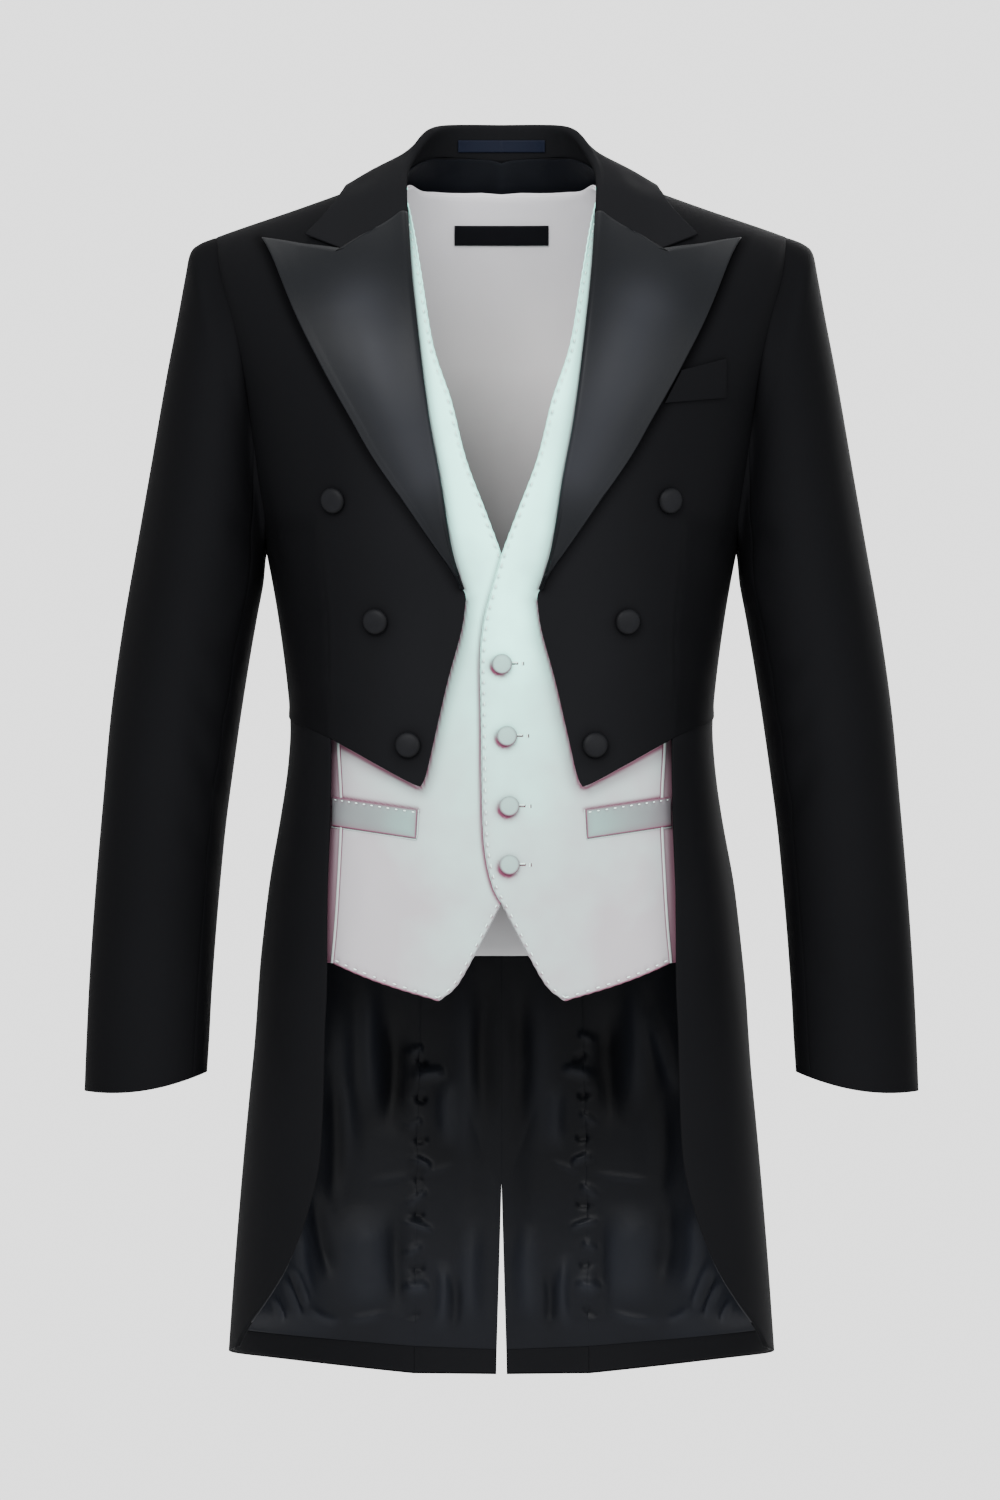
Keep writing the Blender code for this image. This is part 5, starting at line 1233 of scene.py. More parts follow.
def looseness(inner, name):  # how far a lining hangs loose, and how much of its folds is left at its edges
    gaps = edgeGaps(inner.points)
    margin = np.minimum(gaps["top"], gaps["bottom"])
    if name == "tail":
        margin = np.minimum(margin, gaps["left"])
    below, over = linings["ventFade"]
    aboveVent = ease((inner.points[..., 2] - coat["ventTop"] + below) / over)
    beside = np.maximum(aboveVent, ease(np.abs(inner.points[..., 0]) / linings["ventSide"]))
    loose = cloth["liningLoose"] * ease(margin / linings["marginLoose"]) * beside
    return loose, ease(margin / linings["marginFolds"])


def liningShade(inner, folds):  # painted shading: shade in the folds' hollows, light on their crowns, and paler towards the hem and the front corners
    shade = np.where(folds > 0, folds * linings["crown"], folds * linings["hollow"]) + linings["even"]
    low = ease((linings["lowFrom"] - inner.points[..., 2]) / linings["lowOver"])
    corner = ease((inner.points[..., 0] - linings["cornerFrom"]) / linings["cornerOver"])
    return shade + low * (linings["low"] + linings["corner"] * corner)


def buildTailLinings():
    under = cloth["coat"] + cloth["liningGap"]
    seam, edge = cloth["join"], cloth["liningEdge"]
    f = coat["detail"]["lining"]
    for name, whole, first, closed in (("back", backPanel(f), linings["underWaistcoat"], seam),
                                       ("tail", tailPanel(f), 1, edge)):
        panel = whole.cut(np.s_[:, ::linings["every"][name]])
        hem = len(panel.points) - 1 - f
        lining = panel.cut(np.s_[first * f:hem + 1]).trimmed(bottom=seam, right=seam).movedOut(-under)
        turnUp = panel.cut(np.s_[hem::coat["hemStep"]])
        turnUp = turnUp.trimmed(top=seam, bottom=edge, left=edge, right=seam).movedOut(-under)
        for side in "LR":
            inner = lining.inside(cloth["lining"])
            folds = creaseHeights(inner, backPlace(under), creases["lining" + side] + seamPuckers(side))
            loose, fade = looseness(inner, name)
            inner = inner.raised(np.maximum(folds * fade + loose, linings["deepest"])).trimmed(left=closed)
            onSide(side, name + "Lining", inner, cloth["lining"], "black_lining", name + "_lining",
                   tint=liningShade(inner, folds), held="draped")
            onSide(side, name + "Hem", turnUp.inside(cloth["hem"]), cloth["hem"], "wool", name + "_hem",
                   held="draped")


def buildNeckLining():
    under = cloth["coat"] + cloth["liningGap"]
    f = coat["detail"]["neckLining"]
    half = backPanel(f).cut(np.s_[:linings["neckRows"] * f + 1, :linings["neckColumns"] * f + 1])
    half = half.trimmed(top=cloth["seam"]).movedOut(-under)
    neck = half.mirrored().cut(np.s_[:, ::-1]).beside(half).inside(cloth["lining"])
    heights = creaseHeights(neck, backPlace(under), creases["neckLining"])
    # with painted shading from the heights of its folds
    clothWall("neckLining", neck.raised(heights), cloth["lining"], "black_lining", ["back_neck_lining"],
              tint=heights * linings["neckCrown"] + linings["neckEven"], held="draped")


# The waistcoat

waistcoat = {
    "vEdge": ((0.0722, 0.0050), (0.0682, -0.0120), (0.0605, -0.0545), (0.0511, -0.1090),
              (0.0369, -0.1530), (0.0265, -0.1948), (0.0131, -0.2306), (0.0, -0.2657)),
    "overlap": ((0.0, -0.2657), (-0.0076, -0.2927), (-0.0131, -0.3146), (-0.0157, -0.3409),
                (-0.0153, -0.3800), (-0.0142, -0.4548), (-0.0120, -0.4876), (-0.0066, -0.5117),
                (0.0, -0.5244)),
    "underEdge": ((0.0, -0.2657), (-0.0090, -0.3000), (-0.0120, -0.3400), (-0.0120, -0.4600),
                  (-0.0070, -0.5060), (0.0, -0.5244)),
    "pointEdge": ((0.0, -0.5244), (0.0207, -0.5640), (0.0340, -0.5862), (0.0470, -0.5965)),
    "hem": ((0.0470, -0.5965), (0.0887, -0.5840), (0.1259, -0.5687)),
    "panelSeam": ((0.1340, -0.2450), (0.1260, -0.3200), (0.1215, -0.4045), (0.1193, -0.4438),
                  (0.1193, -0.4679), (0.1226, -0.5313), (0.1259, -0.5687)),
    "neck": 0.0750, "shoulder": 0.1480,
    "armhole": ((0.1400, -0.0600), (0.1300, -0.1300), (0.1290, -0.1900), (0.1340, -0.2450)),
    "sideArmhole": ((75.0, -0.2850), (106.0, -0.2700)),
    "sideHem": ((80.0, -0.5650), (106.0, -0.5650)),
    "backArmhole": ((106.0, -0.2700), (118.0, -0.2100), (129.0, -0.1300), (134.0, -0.0600)),
    "neckBack": ((0.0600, 0.0078), (0.0350, 0.0065), (0.0, 0.0057)),
    "liningEdge": 0.001,
    "underlap": 0.0027, "underlapFrom": 0.085, "underlapWidth": 0.055,
    "reach": 0.0113, "reachFrom": 0.085, "reachWidth": 0.040,
    "welt": ((0.0625, -0.4548), (0.1262, -0.4450), (0.1264, -0.4668), (0.0637, -0.4761)),
    "detail": {"rows": 22, "columns": 13, "side": 6, "back": 5},
    "edgeShares": 1.35, "liningDeepest": -0.0002, "label": (0.0355, -0.0172, -0.0320),
    "piping": 0.0026, "pipingBulge": 0.0004, "pipingShade": 0.95,
    "ridge": {"gap": 0.00018, "width": 0.0013, "lift": 0.0002, "bulge": 0.0006, "thickness": 0.0008},
}


def reaching(panel, rows):  # lifts the shoulder seam until the coat can rest on it, easing out below
    points = panel.points.copy()
    share = ease((np.abs(points[0, :, 0]) - waistcoat["reachFrom"]) / waistcoat["reachWidth"])
    fade = np.maximum(0.0, 1 - np.arange(rows + 1) / rows)[:, None]
    lift = waistcoat["reach"] * share[None] * fade
    points[:rows + 1] += panel.normals[:rows + 1] * lift[..., None]
    return Panel(points, facing(points, panel.normals))


def waistcoatFront(middle):
    inset, detail = cloth["inset"], waistcoat["detail"]
    f, columns = detail["rows"], 6 * detail["columns"]
    shares = np.linspace(0, 1, columns + 1)**waistcoat["edgeShares"]
    neck, shoulder = onRidge(waistcoat["neck"]), onRidge(waistcoat["shoulder"])
    top = smoothLine(columns, neck, shoulder, shares=shares)
    hem = smoothLine(columns, seen(waistcoat["hem"], inset), shares=shares)
    inner = joined(smoothLine(7 * f, neck, seen(waistcoat["vEdge"], inset)),
                   smoothLine(6 * f, seen(middle, inset)),
                   smoothLine(3 * f, seen(waistcoat["pointEdge"], inset)))
    outer = joined(smoothLine(7 * f, shoulder, seen(waistcoat["armhole"], inset)),
                   smoothLine(9 * f, seen(waistcoat["panelSeam"], inset)))
    return reaching(onBody(patch(top, hem, inner, outer, shares), inset), f).trimmed(top=cloth["seam"] / 2)


def stripPanel(corners, inset, columns, rows):
    topLeft, topRight, lowRight, lowLeft = (np.array(corner) for corner in corners)
    u = np.linspace(0, 1, columns + 1)[None, :, None]
    v = np.linspace(0, 1, rows + 1)[:, None, None]
    places = (topLeft * (1 - u) + topRight * u) * (1 - v) + (lowLeft * (1 - u) + lowRight * u) * v
    return onBody(seen(places, inset), inset)


def labelPanel(tree, halfWidth, top, bottom):  # laid on what lies behind it
    points = []
    for z in np.linspace(top, bottom, 7):
        starts = [Vector((x, 0.0, z)) for x in np.linspace(-halfWidth, halfWidth, 33)]
        points.append([tuple(tree.ray_cast(start, Vector((0.0, 1.0, 0.0)))[0]) for start in starts])
    points = np.array(points)
    normals = facing(points, np.array((0.0, -1.0, 0.0)))
    return Panel(points + normals * (cloth["lay"] + cloth["label"]), normals)


waistcoatCreases = {   # x, z
    "L": (
        (0.016, -0.346, 0.034, -0.342, 0.052, -0.335, 0.007, 0.0007),
        (0.018, -0.404, 0.036, -0.409, 0.056, -0.407, 0.008, -0.0007),
        (0.020, -0.455, 0.040, -0.452, 0.060, -0.457, 0.008, 0.0006),
        (0.030, -0.500, 0.060, -0.505, 0.092, -0.496, 0.012, -0.0009),
        (0.100, -0.470, 0.104, -0.510, 0.101, -0.555, 0.010, 0.0010),
        (0.078, -0.500, 0.084, -0.535, 0.082, -0.570, 0.010, -0.0008),
        (0.016, -0.270, 0.030, -0.290, 0.038, -0.320, 0.008, -0.0006)),
    "R": (
        (0.020, -0.350, 0.040, -0.352, 0.056, -0.346, 0.008, -0.0007),
        (0.024, -0.398, 0.042, -0.394, 0.060, -0.399, 0.008, 0.0007),
        (0.026, -0.450, 0.046, -0.455, 0.064, -0.450, 0.009, -0.0006),
        (0.034, -0.508, 0.064, -0.500, 0.094, -0.506, 0.012, -0.0009),
        (0.098, -0.475, 0.101, -0.515, 0.104, -0.556, 0.010, 0.0009),
        (0.074, -0.510, 0.079, -0.540, 0.076, -0.574, 0.010, -0.0008),
        (0.010, -0.280, 0.022, -0.300, 0.030, -0.330, 0.008, -0.0006)),
    "back": (
        (-0.045, -0.010, -0.036, -0.090, -0.020, -0.180, 0.014, 0.0014),
        (0.036, -0.004, 0.040, -0.070, 0.030, -0.150, 0.012, 0.0016),
        (0.010, -0.060, 0.004, -0.130, 0.008, -0.210, 0.012, -0.0008),
        (-0.010, -0.470, -0.004, -0.520, -0.008, -0.560, 0.010, 0.0012)),
}


stitching = {
    "inset": 0.0028, "apart": 0.0080, "length": 0.0030, "width": 0.00100, "rise": 0.00030,
    "dimple": 0.0010, "dimpleWidth": 0.0021, "weltDimpleWidth": 0.00168,
    "weltInset": 0.0021, "weltApart": 0.0062, "shadeShift": (-0.0007, 0.0, -0.0009),
}
paintedShadows = {   # painted mauve shadows of the pale cloth: how strong, how wide in metres
    "edge": (0.90, 0.0012), "edgeSoftShadow": (0.25, 0.0040),
    "stitch": (0.85, 0.0013), "weltStitch": (0.70, 0.0011),
    "coatEdge": (1.00, 0.0023), "coatSoftShadow": (0.38, 0.0070), "rollEdge": (0.95, 0.0017),
    "rollSoftShadow": (0.42, 0.0050), "button": (1.00, 0.0017), "buttonSoftShadow": (0.50, 0.0036),
    "overlap": (1.00, 0.0019), "side": (0.85, 0.0080),
}
shadows = {   # where they fall
    "seamShare": 0.8, "pointShare": 0.5, "coatShift": (0.0, -0.0012),
    "rollFade": 0.35, "rollFadeFrom": -0.10, "rollFadeOver": 0.08,      # weaker beside the neck
    "overlapShift": (0.0009, 0.0), "overlapLeast": 0.50, "overlapFrom": -0.27, "overlapOver": 0.10,
    "buttonShift": (-0.0012, -0.0014), "buttonLow": (0.6, 0.5, 0.3), "buttonLeast": 0.20,
}
stitchRows = []


def insetLine(panel, edge, distance):  # the line that far inside an edge, and the way out along it
    points, normals = panel.points, panel.normals
    if edge in ("top", "bottom"):
        points, normals = points.swapaxes(0, 1), normals.swapaxes(0, 1)
    if edge in ("right", "bottom"):
        points, normals = points[:, ::-1], normals[:, ::-1]
    reach = reaches(points, 1)
    line = [readAt(distance, far, row) for far, row in zip(reach, points)]
    out = [row[np.searchsorted(far, distance)] for far, row in zip(reach, normals)]
    return np.array(line), np.array(out)


def stitchPlaces(line, out, apart):  # even places along a line, the way of the line, and the way out
    lengths = reaches(line)
    count = max(2, int(lengths[-1] / apart))
    at = (np.arange(count) + 0.5) * lengths[-1] / count
    ways = readAt(at + 0.001, lengths, line) - readAt(at - 0.001, lengths, line)
    return readAt(at, lengths, line), unit(ways), unit(readAt(at, lengths, out))


def around(points, places, width):  # 1 at each of the places, fading out over the width
    field = np.zeros(points.shape[:-1])
    for place in places:
        field = np.maximum(field, np.exp(-np.sum((points - place)**2, axis=-1) / width**2))
    return field


def paintedShadowAt(kind, distance):
    strength, width = paintedShadows[kind]
    return strength * fading(distance, width)


def paintedLineShadow(panel, outline, kind):  # painted shadow beside an outline given as x, z, looked at from the front
    return paintedShadowAt(kind, nearLine(panel.points * forwards, flatLine(60, outline))[0])


# painted shade along the given edges, and a little weaker along the seams
def paintedEdgeShadows(panel, edges, seamEdges):
    gaps = edgeGaps(panel.points)
    fields = [paintedShadowAt(kind, gaps[name]) for name in edges for kind in ("edge", "edgeSoftShadow")]
    return fields + [shadows["seamShare"] * paintedShadowAt("edge", gaps[name]) for name in seamEdges]


def stitchedRow(panel, edge, inset, apart, sunk, width):  # a row of dimples, and the places of its threads
    places, ways, outs = stitchPlaces(*insetLine(panel, edge, inset), apart)
    dimples = -stitching["dimple"] * around(panel.points, places, width)
    return dimples, places, (places - outs * sunk, ways, outs)


def mirroredRow(row):
    return tuple(part * flipped for part in row)


def paintedButtonShadow(points, x, z):  # painted shadow round the button, darkest below it and towards the wearer's right
    shiftX, shiftZ = shadows["buttonShift"]
    across, down = points[..., 0] - x - shiftX, points[..., 2] - z - shiftZ
    away = np.maximum(np.hypot(across, down), 1e-6)
    even, below, aside = shadows["buttonLow"]
    low = np.clip(even - below * down / away - aside * across / away, shadows["buttonLeast"], 1.0)
    beyond = np.maximum(away - buttons["waistcoatSize"][0] / 2, 0.0)
    return [low * paintedShadowAt(kind, beyond) for kind in ("button", "buttonSoftShadow")]


# painted shadows on a waistcoat front: at its hem and seam, beside the coat's edge and roll line, the point,
# the welt's top edge, the upper front's edge, and round the buttons
def paintedFrontShadows(panel, side):
    height = panel.points[..., 2]
    outline = joined(coat["frontEdge"], coat["cutaway"]) + np.array(shadows["coatShift"])
    fade = 1 - shadows["rollFade"] * ease((height - shadows["rollFadeFrom"]) / shadows["rollFadeOver"])
    fields = paintedEdgeShadows(panel, ("bottom",), ("right",))
    fields += [paintedLineShadow(panel, outline, kind) for kind in ("coatEdge", "coatSoftShadow")]
    fields.append(paintedLineShadow(panel, coat["rollLine"], "rollSoftShadow") * fade)
    fields.append(paintedLineShadow(panel, coat["rollLine"], "rollEdge"))
    fields.append(paintedLineShadow(panel, waistcoat["pointEdge"], "edge") * shadows["pointShare"])
    fields.append(paintedLineShadow(panel, waistcoat["welt"][:2], "overlap"))
    if side == "R":    # the under front, in the shadow of the upper one's edge
        edge = np.array(waistcoat["overlap"]) * (-1.0, 1.0) + shadows["overlapShift"]
        least = shadows["overlapLeast"]
        deeper = least + (1 - least) * ease((shadows["overlapFrom"] - height) / shadows["overlapOver"])
        fields.append(paintedLineShadow(panel, edge, "overlap") * deeper)
    for label, x, z in buttons["waistcoat"]:
        fields += paintedButtonShadow(panel.on(side).points, x, z)
    return fields


def buildFronts():
    upper, lower = waistcoatFront(waistcoat["overlap"]), waistcoatFront(waistcoat["underEdge"])
    sink = ease((waistcoat["underlapFrom"] - lower.points[..., 0]) / waistcoat["underlapWidth"])
    lower = lower.movedOut(-(waistcoat["underlap"] * sink)[..., None])
    for side, panel in (("L", upper), ("R", lower)):
        panel = panel.trimmed(right=cloth["join"])
        heights = creaseHeights(panel, frontPlace(cloth["inset"]), waistcoatCreases[side])
        fields = paintedFrontShadows(panel, side)
        for edge in ("left", "bottom"):
            dimples, places, row = stitchedRow(
                panel, edge, stitching["inset"], stitching["apart"],
                stitching["dimple"] - stitching["rise"], stitching["dimpleWidth"])
            heights = heights + dimples
            # a painted shadow beside each stitch's dimple
            strength, width = paintedShadows["stitch"]
            fields.append(strength * around(panel.points, places + stitching["shadeShift"], width))
            stitchRows.append(row if side == "L" else mirroredRow(row))
        onSide(side, "waistcoatFront", panel.raised(heights), cloth["waistcoat"], "pale_cloth",
               "waistcoat_front", tint=np.maximum.reduce(fields), held="draped")


def sideSeam(cells):
    ends = byAngle((waistcoat["sideArmhole"][-1], waistcoat["sideHem"][-1]), cloth["inset"])
    return smoothLine(cells, ends)


def buildSides():
    inset, f = cloth["inset"], waistcoat["detail"]["side"]
    seamLine = smoothLine(9 * f, seen(waistcoat["panelSeam"], inset))
    top = smoothLine(5 * f, seamLine[0], byAngle(waistcoat["sideArmhole"], inset))
    hem = smoothLine(5 * f, seamLine[-1], byAngle(waistcoat["sideHem"], inset))
    panel = onBody(patch(top, hem, seamLine, sideSeam(9 * f)), inset)
    panel = panel.trimmed(left=cloth["join"], right=cloth["join"])
    # painted shade along the hem and the seam, and painted shadows of the coat's cutaway and tail
    fields = paintedEdgeShadows(panel, ("bottom",), ("left",))
    fields.append(paintedLineShadow(panel, coat["cutaway"], "coatSoftShadow"))
    fields.append(paintedLineShadow(panel, coat["tailFront"], "side"))
    onBothSides("waistcoatSide", panel, cloth["waistcoat"], "pale_cloth", "waistcoat_side",
                tint=np.maximum.reduce(fields), held="draped")


def buildPiping():  # a rounded strip along the seam of the side panel, painted darker towards its sides
    line, half = smoothLine(90, waistcoat["panelSeam"]), waistcoat["piping"] / 2
    offsets = np.linspace(-half, half, 7)
    inset = cloth["inset"] - cloth["label"]
    strip = onBody(seen(np.stack([line + (offset, 0.0) for offset in offsets], axis=1), inset), inset)
    strip = strip.raised(waistcoat["pipingBulge"] * np.sin(np.linspace(0, np.pi, 7))[None])
    onBothSides("piping", strip, cloth["label"], "pale_cloth",
                tint=waistcoat["pipingShade"] * np.abs(offsets / half)**3, finish=ridgeCloth)


def buildBack():
    inset, wall, seam = cloth["inset"], cloth["waistcoat"], cloth["join"]
    f = waistcoat["detail"]["back"]
    neckPoint, shoulderPoint = onRidge(waistcoat["neck"], True), onRidge(waistcoat["shoulder"], True)
    neck = smoothLine(3 * f, neckPoint, seen(waistcoat["neckBack"], inset, behind=True))
    top = joined(smoothLine(3 * f, shoulderPoint, neckPoint), neck)
    armhole = smoothLine(5 * f, shoulderPoint, byAngle(waistcoat["backArmhole"], inset)[::-1])
    left = joined(armhole, sideSeam(9 * f))
    centre = smoothLine(len(left) - 1, neck[-1], byAngle((180.0, waistcoat["sideHem"][-1][1]), inset))
    bottom = smoothLine(6 * f, left[-1], centre[-1])
    half = reaching(onBody(patch(top, bottom, left, centre), inset), f).trimmed(top=seam, left=seam)
    whole = half.beside(half.mirrored().cut(np.s_[:, ::-1]))
    clothWall("waistcoatBack", whole, wall, "pale_lining", ["waistcoat_back"], held="draped")
    edge = waistcoat["liningEdge"]
    lining = whole.trimmed(top=edge, bottom=edge).movedOut(-(wall + cloth["seam"] + cloth["lining"])).inside()
    folds = creaseHeights(lining, backPlace(inset + wall), waistcoatCreases["back"])
    lining = lining.raised(np.maximum(folds, waistcoat["liningDeepest"]))
    clothWall("waistcoatBackLining", lining, cloth["lining"], "pale_lining", ["waistcoat_back_lining"],
              held="draped")
    clothWall("waistcoatLabel", labelPanel(lining.tree(), *waistcoat["label"]), cloth["label"], "black_label",
              ["waistcoat_label"])


def buildWelts():
    wall = cloth["waistcoat"]
    strip = stripPanel(waistcoat["welt"], cloth["inset"] - cloth["lay"] - wall, 60, 20)
    dimples, places, row = stitchedRow(strip, "top", stitching["weltInset"], stitching["weltApart"],
                                       stitching["dimple"], stitching["weltDimpleWidth"])
    stitchRows.extend([row, mirroredRow(row)])
    strip = strip.raised(dimples)
    # painted shade along the edges and the seam, and a painted shadow at each stitch
    strength, width = paintedShadows["weltStitch"]
    fields = paintedEdgeShadows(strip, ("left", "bottom"), ("top",)) + [strength * around(strip.points, places, width)]
    onBothSides("waistcoatWelt", strip, wall, "pale_cloth", "waistcoat_welt",
                tint=np.maximum.reduce(fields), held="laid", finish=weltCloth)


def buildWeltRidges():  # where the seam shows along the welt's foot and up its front end
    corners, ridge = np.array(waistcoat["welt"]), waistcoat["ridge"]
    foot, end = np.linspace(corners[2], corners[3], 48), np.linspace(corners[3], corners[0], 18)[2:]
    ways = np.vstack([np.tile((0.0, -1.0), (len(foot), 1)), np.tile((-1.0, 0.0), (len(end), 1))])
    reach = ridge["gap"] + ridge["width"] * np.linspace(0, 1, 6)
    inset = cloth["inset"] - ridge["lift"]
    places = np.vstack((foot, end))[:, None] + ways[:, None] * reach[:, None]
    strip = onBody(seen(places, inset), inset)
    strip = strip.raised(ridge["bulge"] * np.sin(np.linspace(0, np.pi, 6))[None])
    onBothSides("weltRidge", strip, ridge["thickness"], "pale_cloth", finish=ridgeCloth)


# Thread: one small rounded blob at each point of a guide mesh, turned along it

def threadTree():
    tree = bpy.data.node_groups.new("threadStitches", "GeometryNodeTree")
    tree.interface.new_socket("Geometry", in_out="OUTPUT", socket_type="NodeSocketGeometry")
    for name, kind in (("Geometry", "NodeSocketGeometry"), ("Length", "NodeSocketFloat"),
                       ("Thickness", "NodeSocketFloat"), ("Unevenness", "NodeSocketFloat"),
                       ("Seed", "NodeSocketInt"), ("Finish", "NodeSocketMaterial")):
        tree.interface.new_socket(name, in_out="INPUT", socket_type=kind)

    def add(kind, inputs, settings=None, output=0):
        return addNode(tree, kind, settings or {}, inputs).outputs[output]

    def maths(operation, first, second):
        return add("ShaderNodeMath", {0: first, 1: second}, {"operation": operation})

    given = addNode(tree, "NodeGroupInput", {}, {}).outputs
    ball = add("GeometryNodeMeshUVSphere", {"Segments": 8, "Rings": 6, "Radius": 0.5})
    rounded = add("GeometryNodeSetShadeSmooth", {"Geometry": ball})
    along, outward = (add("GeometryNodeInputNamedAttribute", {"Name": name}, {"data_type": "FLOAT_VECTOR"},
                          "Attribute") for name in ("along", "outward"))
    first = add("FunctionNodeAlignRotationToVector", {"Vector": along}, {"axis": "X"})
    turned = add("FunctionNodeAlignRotationToVector", {"Rotation": first, "Vector": outward},
                 {"axis": "Z", "pivot_axis": "X"})
    low, high = maths("SUBTRACT", 1.0, given["Unevenness"]), maths("ADD", 1.0, given["Unevenness"])
    chance = add("FunctionNodeRandomValue", {2: low, 3: high, "Seed": given["Seed"]},
                 {"data_type": "FLOAT"}, 1)
    size = add("ShaderNodeCombineXYZ", {"X": maths("MULTIPLY", given["Length"], chance),
                                        "Y": given["Thickness"], "Z": given["Thickness"]})
    placed = add("GeometryNodeInstanceOnPoints", {"Points": given["Geometry"], "Instance": rounded,
                                                  "Rotation": turned, "Scale": size})
    real = add("GeometryNodeRealizeInstances", {"Geometry": placed})
    finished = add("GeometryNodeSetMaterial", {"Geometry": real, "Material": given["Finish"]})
    addNode(tree, "NodeGroupOutput", {}, {0: finished})
    return tree


def threadPiece(name, tree, rows, finish, **sizes):
    places, ways, outs = (np.concatenate([row[k] for row in rows]) for k in range(3))
    guide = bpy.data.meshes.new(name + "Guide")
    guide.from_pydata(places.tolist(), [], [])
    for attribute, values in (("along", ways), ("outward", outs)):
        layer = guide.attributes.new(attribute, "FLOAT_VECTOR", "POINT")
        layer.data.foreach_set("vector", values.astype(np.float32).ravel())
    holder = bpy.data.objects.new(name + "Guide", guide)
    bpy.context.scene.collection.objects.link(holder)
    modifier = holder.modifiers.new("thread", "NODES")
    modifier.node_group = tree
    sockets = {item.name: item.identifier for item in tree.interface.items_tree if item.in_out == "INPUT"}
    for socket, value in dict(sizes, Finish=finish).items():
        modifier[sockets[socket]] = value
    bpy.context.view_layer.update()
    evaluated = holder.evaluated_get(bpy.context.evaluated_depsgraph_get())
    mesh = bpy.data.meshes.new_from_object(evaluated)
    mesh.name = name
    holder.modifiers.remove(modifier)
    bpy.data.objects.remove(holder)
    mesh.materials.clear()
    addPiece(name, mesh, "pale_cloth", (), finish)


# Buttonholes: a short slit from under each waistcoat button, worked round with thread, and a bar beyond; dark
# mauve thread along the slit and beside the bar is painted shade

buttonhole = {   # lines from the button's middle in x and z, their rise, and how far apart their stitches are
    "worked": ((((0.0072, 0.0010), (0.0116, 0.0010)), 0.0002, 0.0006),
               (((0.0150, 0.0014), (0.0150, -0.0014)), 0.0001, 0.0006)),
    "slitShadows": ((((0.0072, -0.0003), (0.0116, -0.0003), (0.0116, 0.0010)), 0.0001, 0.0005),
              (((0.0161, 0.00112), (0.0161, -0.00112)), 0.0, 0.0005)),
    "thread": {"Length": 0.0009, "Thickness": 0.0012375, "Unevenness": 0.2, "Seed": 5},
    "slitShadow": {"Length": 0.0012, "Thickness": 0.0009, "Unevenness": 0.05, "Seed": 7},
}


def buttonholeRows(lines):
    inset, rows = cloth["inset"], []
    for label, x, z in buttons["waistcoat"]:
        for outline, rise, apart in lines:
            fine = [np.linspace(start, end, 12, endpoint=False) for start, end in zip(outline, outline[1:])]
            spots = seen(np.vstack(fine + [outline[-1]]) + (x, z), inset)
            outs = bodyNormals(spots, inset)
            rows.append(stitchPlaces(bodyPoints(spots, inset) + outs * rise, outs, apart))
    return rows


def buildThreads():
    tree = threadTree()
    white = threadSurface("paleThread", (0.46, 0.62, 0.57, 1), (0.5428, 0.7316, 0.6726, 1), 0.5)
    # the dark mauve thread stands in for the shade in the slits and beside the bars
    mauve = threadSurface("mauveThread", (0.060, 0.018, 0.026, 1), (0.0708, 0.0212, 0.0307, 1), 0.6)
    threadPiece("pickStitches", tree, stitchRows, white, Length=stitching["length"],
                Thickness=stitching["width"], Unevenness=0.2, Seed=3)
    threadPiece("buttonholeThread", tree, buttonholeRows(buttonhole["worked"]), white, **buttonhole["thread"])
    threadPiece("buttonholeSlitShadows", tree, buttonholeRows(buttonhole["slitShadows"]), mauve, **buttonhole["slitShadow"])


# Buttons: domed, covered in cloth

buttons = {
    "coat": (("l1", 0.1245, -0.2254), ("l2", 0.0932, -0.3151), ("l3", 0.0692, -0.4068),
             ("r1", -0.1245, -0.2254), ("r2", -0.0932, -0.3151), ("r3", -0.0692, -0.4068)),
    "waistcoat": (("1", 0.0004, -0.3464), ("2", 0.0041, -0.4000), ("3", 0.0058, -0.4522),
                  ("4", 0.0060, -0.4958)),
    "coatSize": (0.0195, 0.0052), "waistcoatSize": (0.0150, 0.0044),
    "profile": ((0.0, 0.0), (0.55, 0.0), (0.62, 0.10), (0.80, 0.12), (0.95, 0.20), (1.0, 0.34), (0.985, 0.50),
                (0.93, 0.66), (0.82, 0.80), (0.66, 0.90), (0.46, 0.96), (0.24, 0.99), (0.0, 1.0)),
    "sides": 48,
    "rimFrom": 0.74, "rimOver": 0.24, "rimShade": 0.90, "rimAbove": 0.25, "lowShade": 0.10,
}


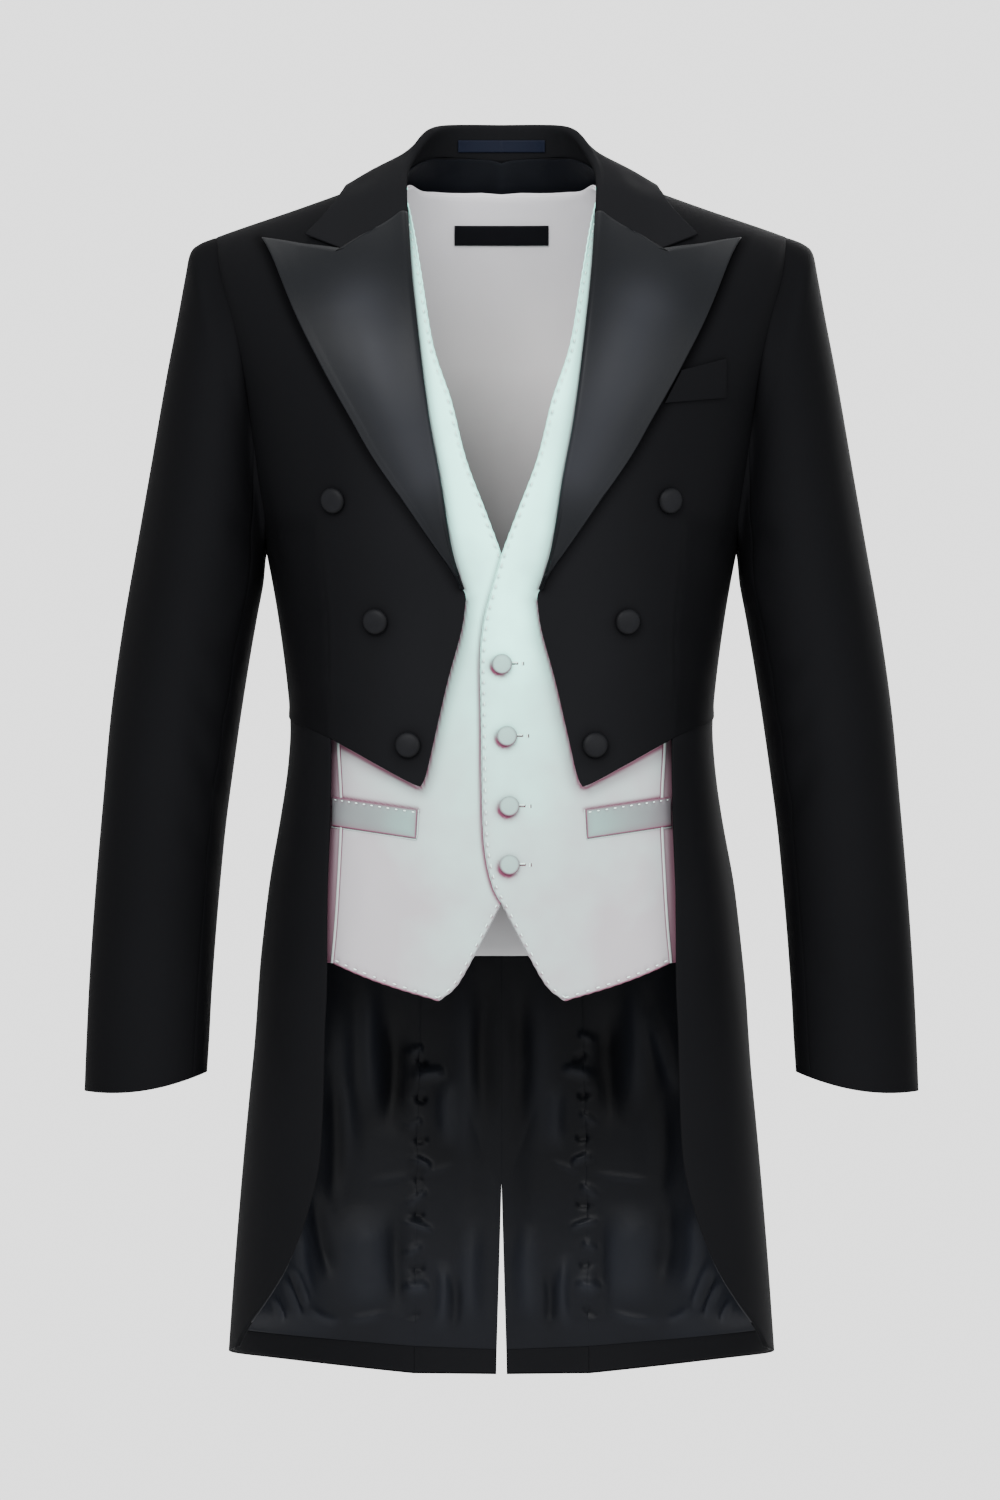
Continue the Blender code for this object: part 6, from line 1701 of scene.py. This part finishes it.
def buttonMesh(name, diameter, height, point, out):
    profile = refined(np.array(buttons["profile"]), [2] * (len(buttons["profile"]) - 1))
    n, last = buttons["sides"], len(profile) - 1
    turns = np.arange(n) * 2 * np.pi / n
    spots, faces = [(0.0, 0.0, 0.0)], []
    for r, h in profile[1:-1] * (diameter / 2, height):
        spots += [(r * math.cos(a), r * math.sin(a), h) for a in turns]
    spots.append((0.0, 0.0, height))
    top = 1 + (last - 2) * n
    for s in range(n):
        t = (s + 1) % n
        faces += [(0, 1 + t, 1 + s), (top + s, top + t, len(spots) - 1)]
        for a in range(1, top, n):
            faces.append((a + s, a + t, a + n + t, a + n + s))
    place = Matrix.Translation(Vector(point)) @ Vector(out).to_track_quat("Z", "Y").to_matrix().to_4x4()
    placed = [place @ Vector(spot) for spot in spots]
    mesh = bpy.data.meshes.new(name)
    mesh.from_pydata(placed, [], faces)
    mesh.update()
    mesh.shade_smooth()
    tint = []
    for vertex, spot in zip(placed, spots):    # painted shade: darker round the rim, and most of all below
        rim = ease((math.hypot(spot[0], spot[1]) / (diameter / 2) - buttons["rimFrom"]) / buttons["rimOver"])
        low = 0.5 - (vertex.z - point[2]) / diameter
        below = buttons["rimAbove"] + (1 - buttons["rimAbove"]) * low
        tint.append(buttons["rimShade"] * rim * below + buttons["lowShade"] * low)
    setPaintedShading(mesh, tint)
    return mesh


def buildButtons():
    for kind, inset, slotName, finish in (("coat", 0.0, "covered_button", None),
                                          ("waistcoat", cloth["inset"], "pale_cloth", buttonCloth)):
        for label, x, z in buttons[kind]:
            spot = seen((x, z), inset)
            out = bodyNormals(spot, inset)
            name = kind + "Button" + label.upper()
            point = bodyPoints(spot, inset) + out * cloth["seam"]
            mesh = buttonMesh(name, *buttons[kind + "Size"], point, out)
            addPiece(name, mesh, slotName, [kind + "_button_" + label], finish)


collarGrid = buildCoat()
print("coat made")
buildTailLinings()
buildNeckLining()
coatLabel = labelPanel(collarGrid.tree(), *coat["label"])
clothWall("coatLabel", coatLabel, cloth["label"], "navy_label", ["coat_label"])
breastWelt = stripPanel(coat["breastWelt"], -(cloth["lay"] + cloth["satin"]), 24, 12)
# with painted shade, as on the front around it
clothWall("breastWelt", breastWelt, cloth["satin"], "wool", ["coat_breast_welt"], held="laid",
          tint=shades["breastWelt"])
print("linings made")
buildFronts()
buildSides()
buildPiping()
buildBack()
buildWelts()
buildWeltRidges()
print("waistcoat made")
buildButtons()
print("buttons made")
buildThreads()
print("threads made")


# Each sheet's flat size and area are read here, and nothing is done with them


def declareSheets():
    for sheet in sheets:
        width, length = sheet["flat"]
        min(sheet["area"], width * length)


declareSheets()
print("sheets declared:", len(sheets))

# Studio: pale floor far below, soft lights, and a long lens straight in front

studio = {
    "distance": 18.0, "scale": 1340.0, "width": 1000, "height": 1500,
    "centre": (501.5, 200.0),   # the photo's pixel at x 0, z 0
    "floor": -1.46,
    "world": (1.0, 1.0, 1.0, 1.0), "worldStrength": 2.2,
    "lights": (   # name, place, aim, size, power
        ("keyLight", (-0.9, -3.0, 1.3), (0.0, 0.0, -0.35), 1.6, 190.0),
        ("fillLight", (1.6, -2.8, 0.4), (0.0, 0.0, -0.4), 1.6, 80.0),
        ("topLight", (0.0, 0.6, 2.4), (0.0, 0.0, -0.2), 1.5, 40.0),
        ("backLight", (1.4, 3.2, 1.0), (0.0, 0.0, -0.4), 2.0, 170.0)),
}


def buildStudio():
    camera = bpy.data.objects.new("camera", bpy.data.cameras.new("camera"))
    bpy.context.scene.collection.objects.link(camera)
    bpy.context.scene.camera = camera
    x = (studio["width"] / 2 - studio["centre"][0]) / studio["scale"]
    z = (studio["centre"][1] - studio["height"] / 2) / studio["scale"]
    camera.location = (x, -studio["distance"], z)
    camera.rotation_euler = (math.pi / 2, 0.0, 0.0)
    half = studio["height"] / 2 / studio["scale"] / studio["distance"]
    camera.data.sensor_width = 36.0
    camera.data.lens = 18.0 / half
    camera.data.clip_end = 100.0
    for name, place, aim, size, power in studio["lights"]:
        light = bpy.data.lights.new(name, "AREA")
        light.energy = power
        light.size = size
        lamp = bpy.data.objects.new(name, light)
        bpy.context.scene.collection.objects.link(lamp)
        lamp.location = place
        lamp.rotation_euler = (Vector(aim) - Vector(place)).to_track_quat("-Z", "Y").to_euler()
    world = bpy.data.worlds.new("studio")
    bpy.context.scene.world = world
    world.use_nodes = True
    background = world.node_tree.nodes["Background"]
    background.inputs["Color"].default_value = studio["world"]
    background.inputs["Strength"].default_value = studio["worldStrength"]
    mesh = bpy.data.meshes.new("floor")
    reach = 6.0
    mesh.from_pydata([(-reach, -reach, studio["floor"]), (reach, -reach, studio["floor"]),
                      (reach, reach, studio["floor"]), (-reach, reach, studio["floor"])], [], [(0, 1, 2, 3)])
    floor = bpy.data.objects.new("floor", mesh)
    bpy.context.scene.collection.objects.link(floor)
    surface = Surface("floorPaint", Roughness=0.8)
    cloud = surface.noise(surface.objectPlace(), 3.0)
    surface.drive("Base Color", surface.mixed(cloud, (0.80, 0.80, 0.80, 1), (0.86, 0.86, 0.86, 1)))
    mesh.materials.append(surface.material)


buildStudio()
print("studio made")
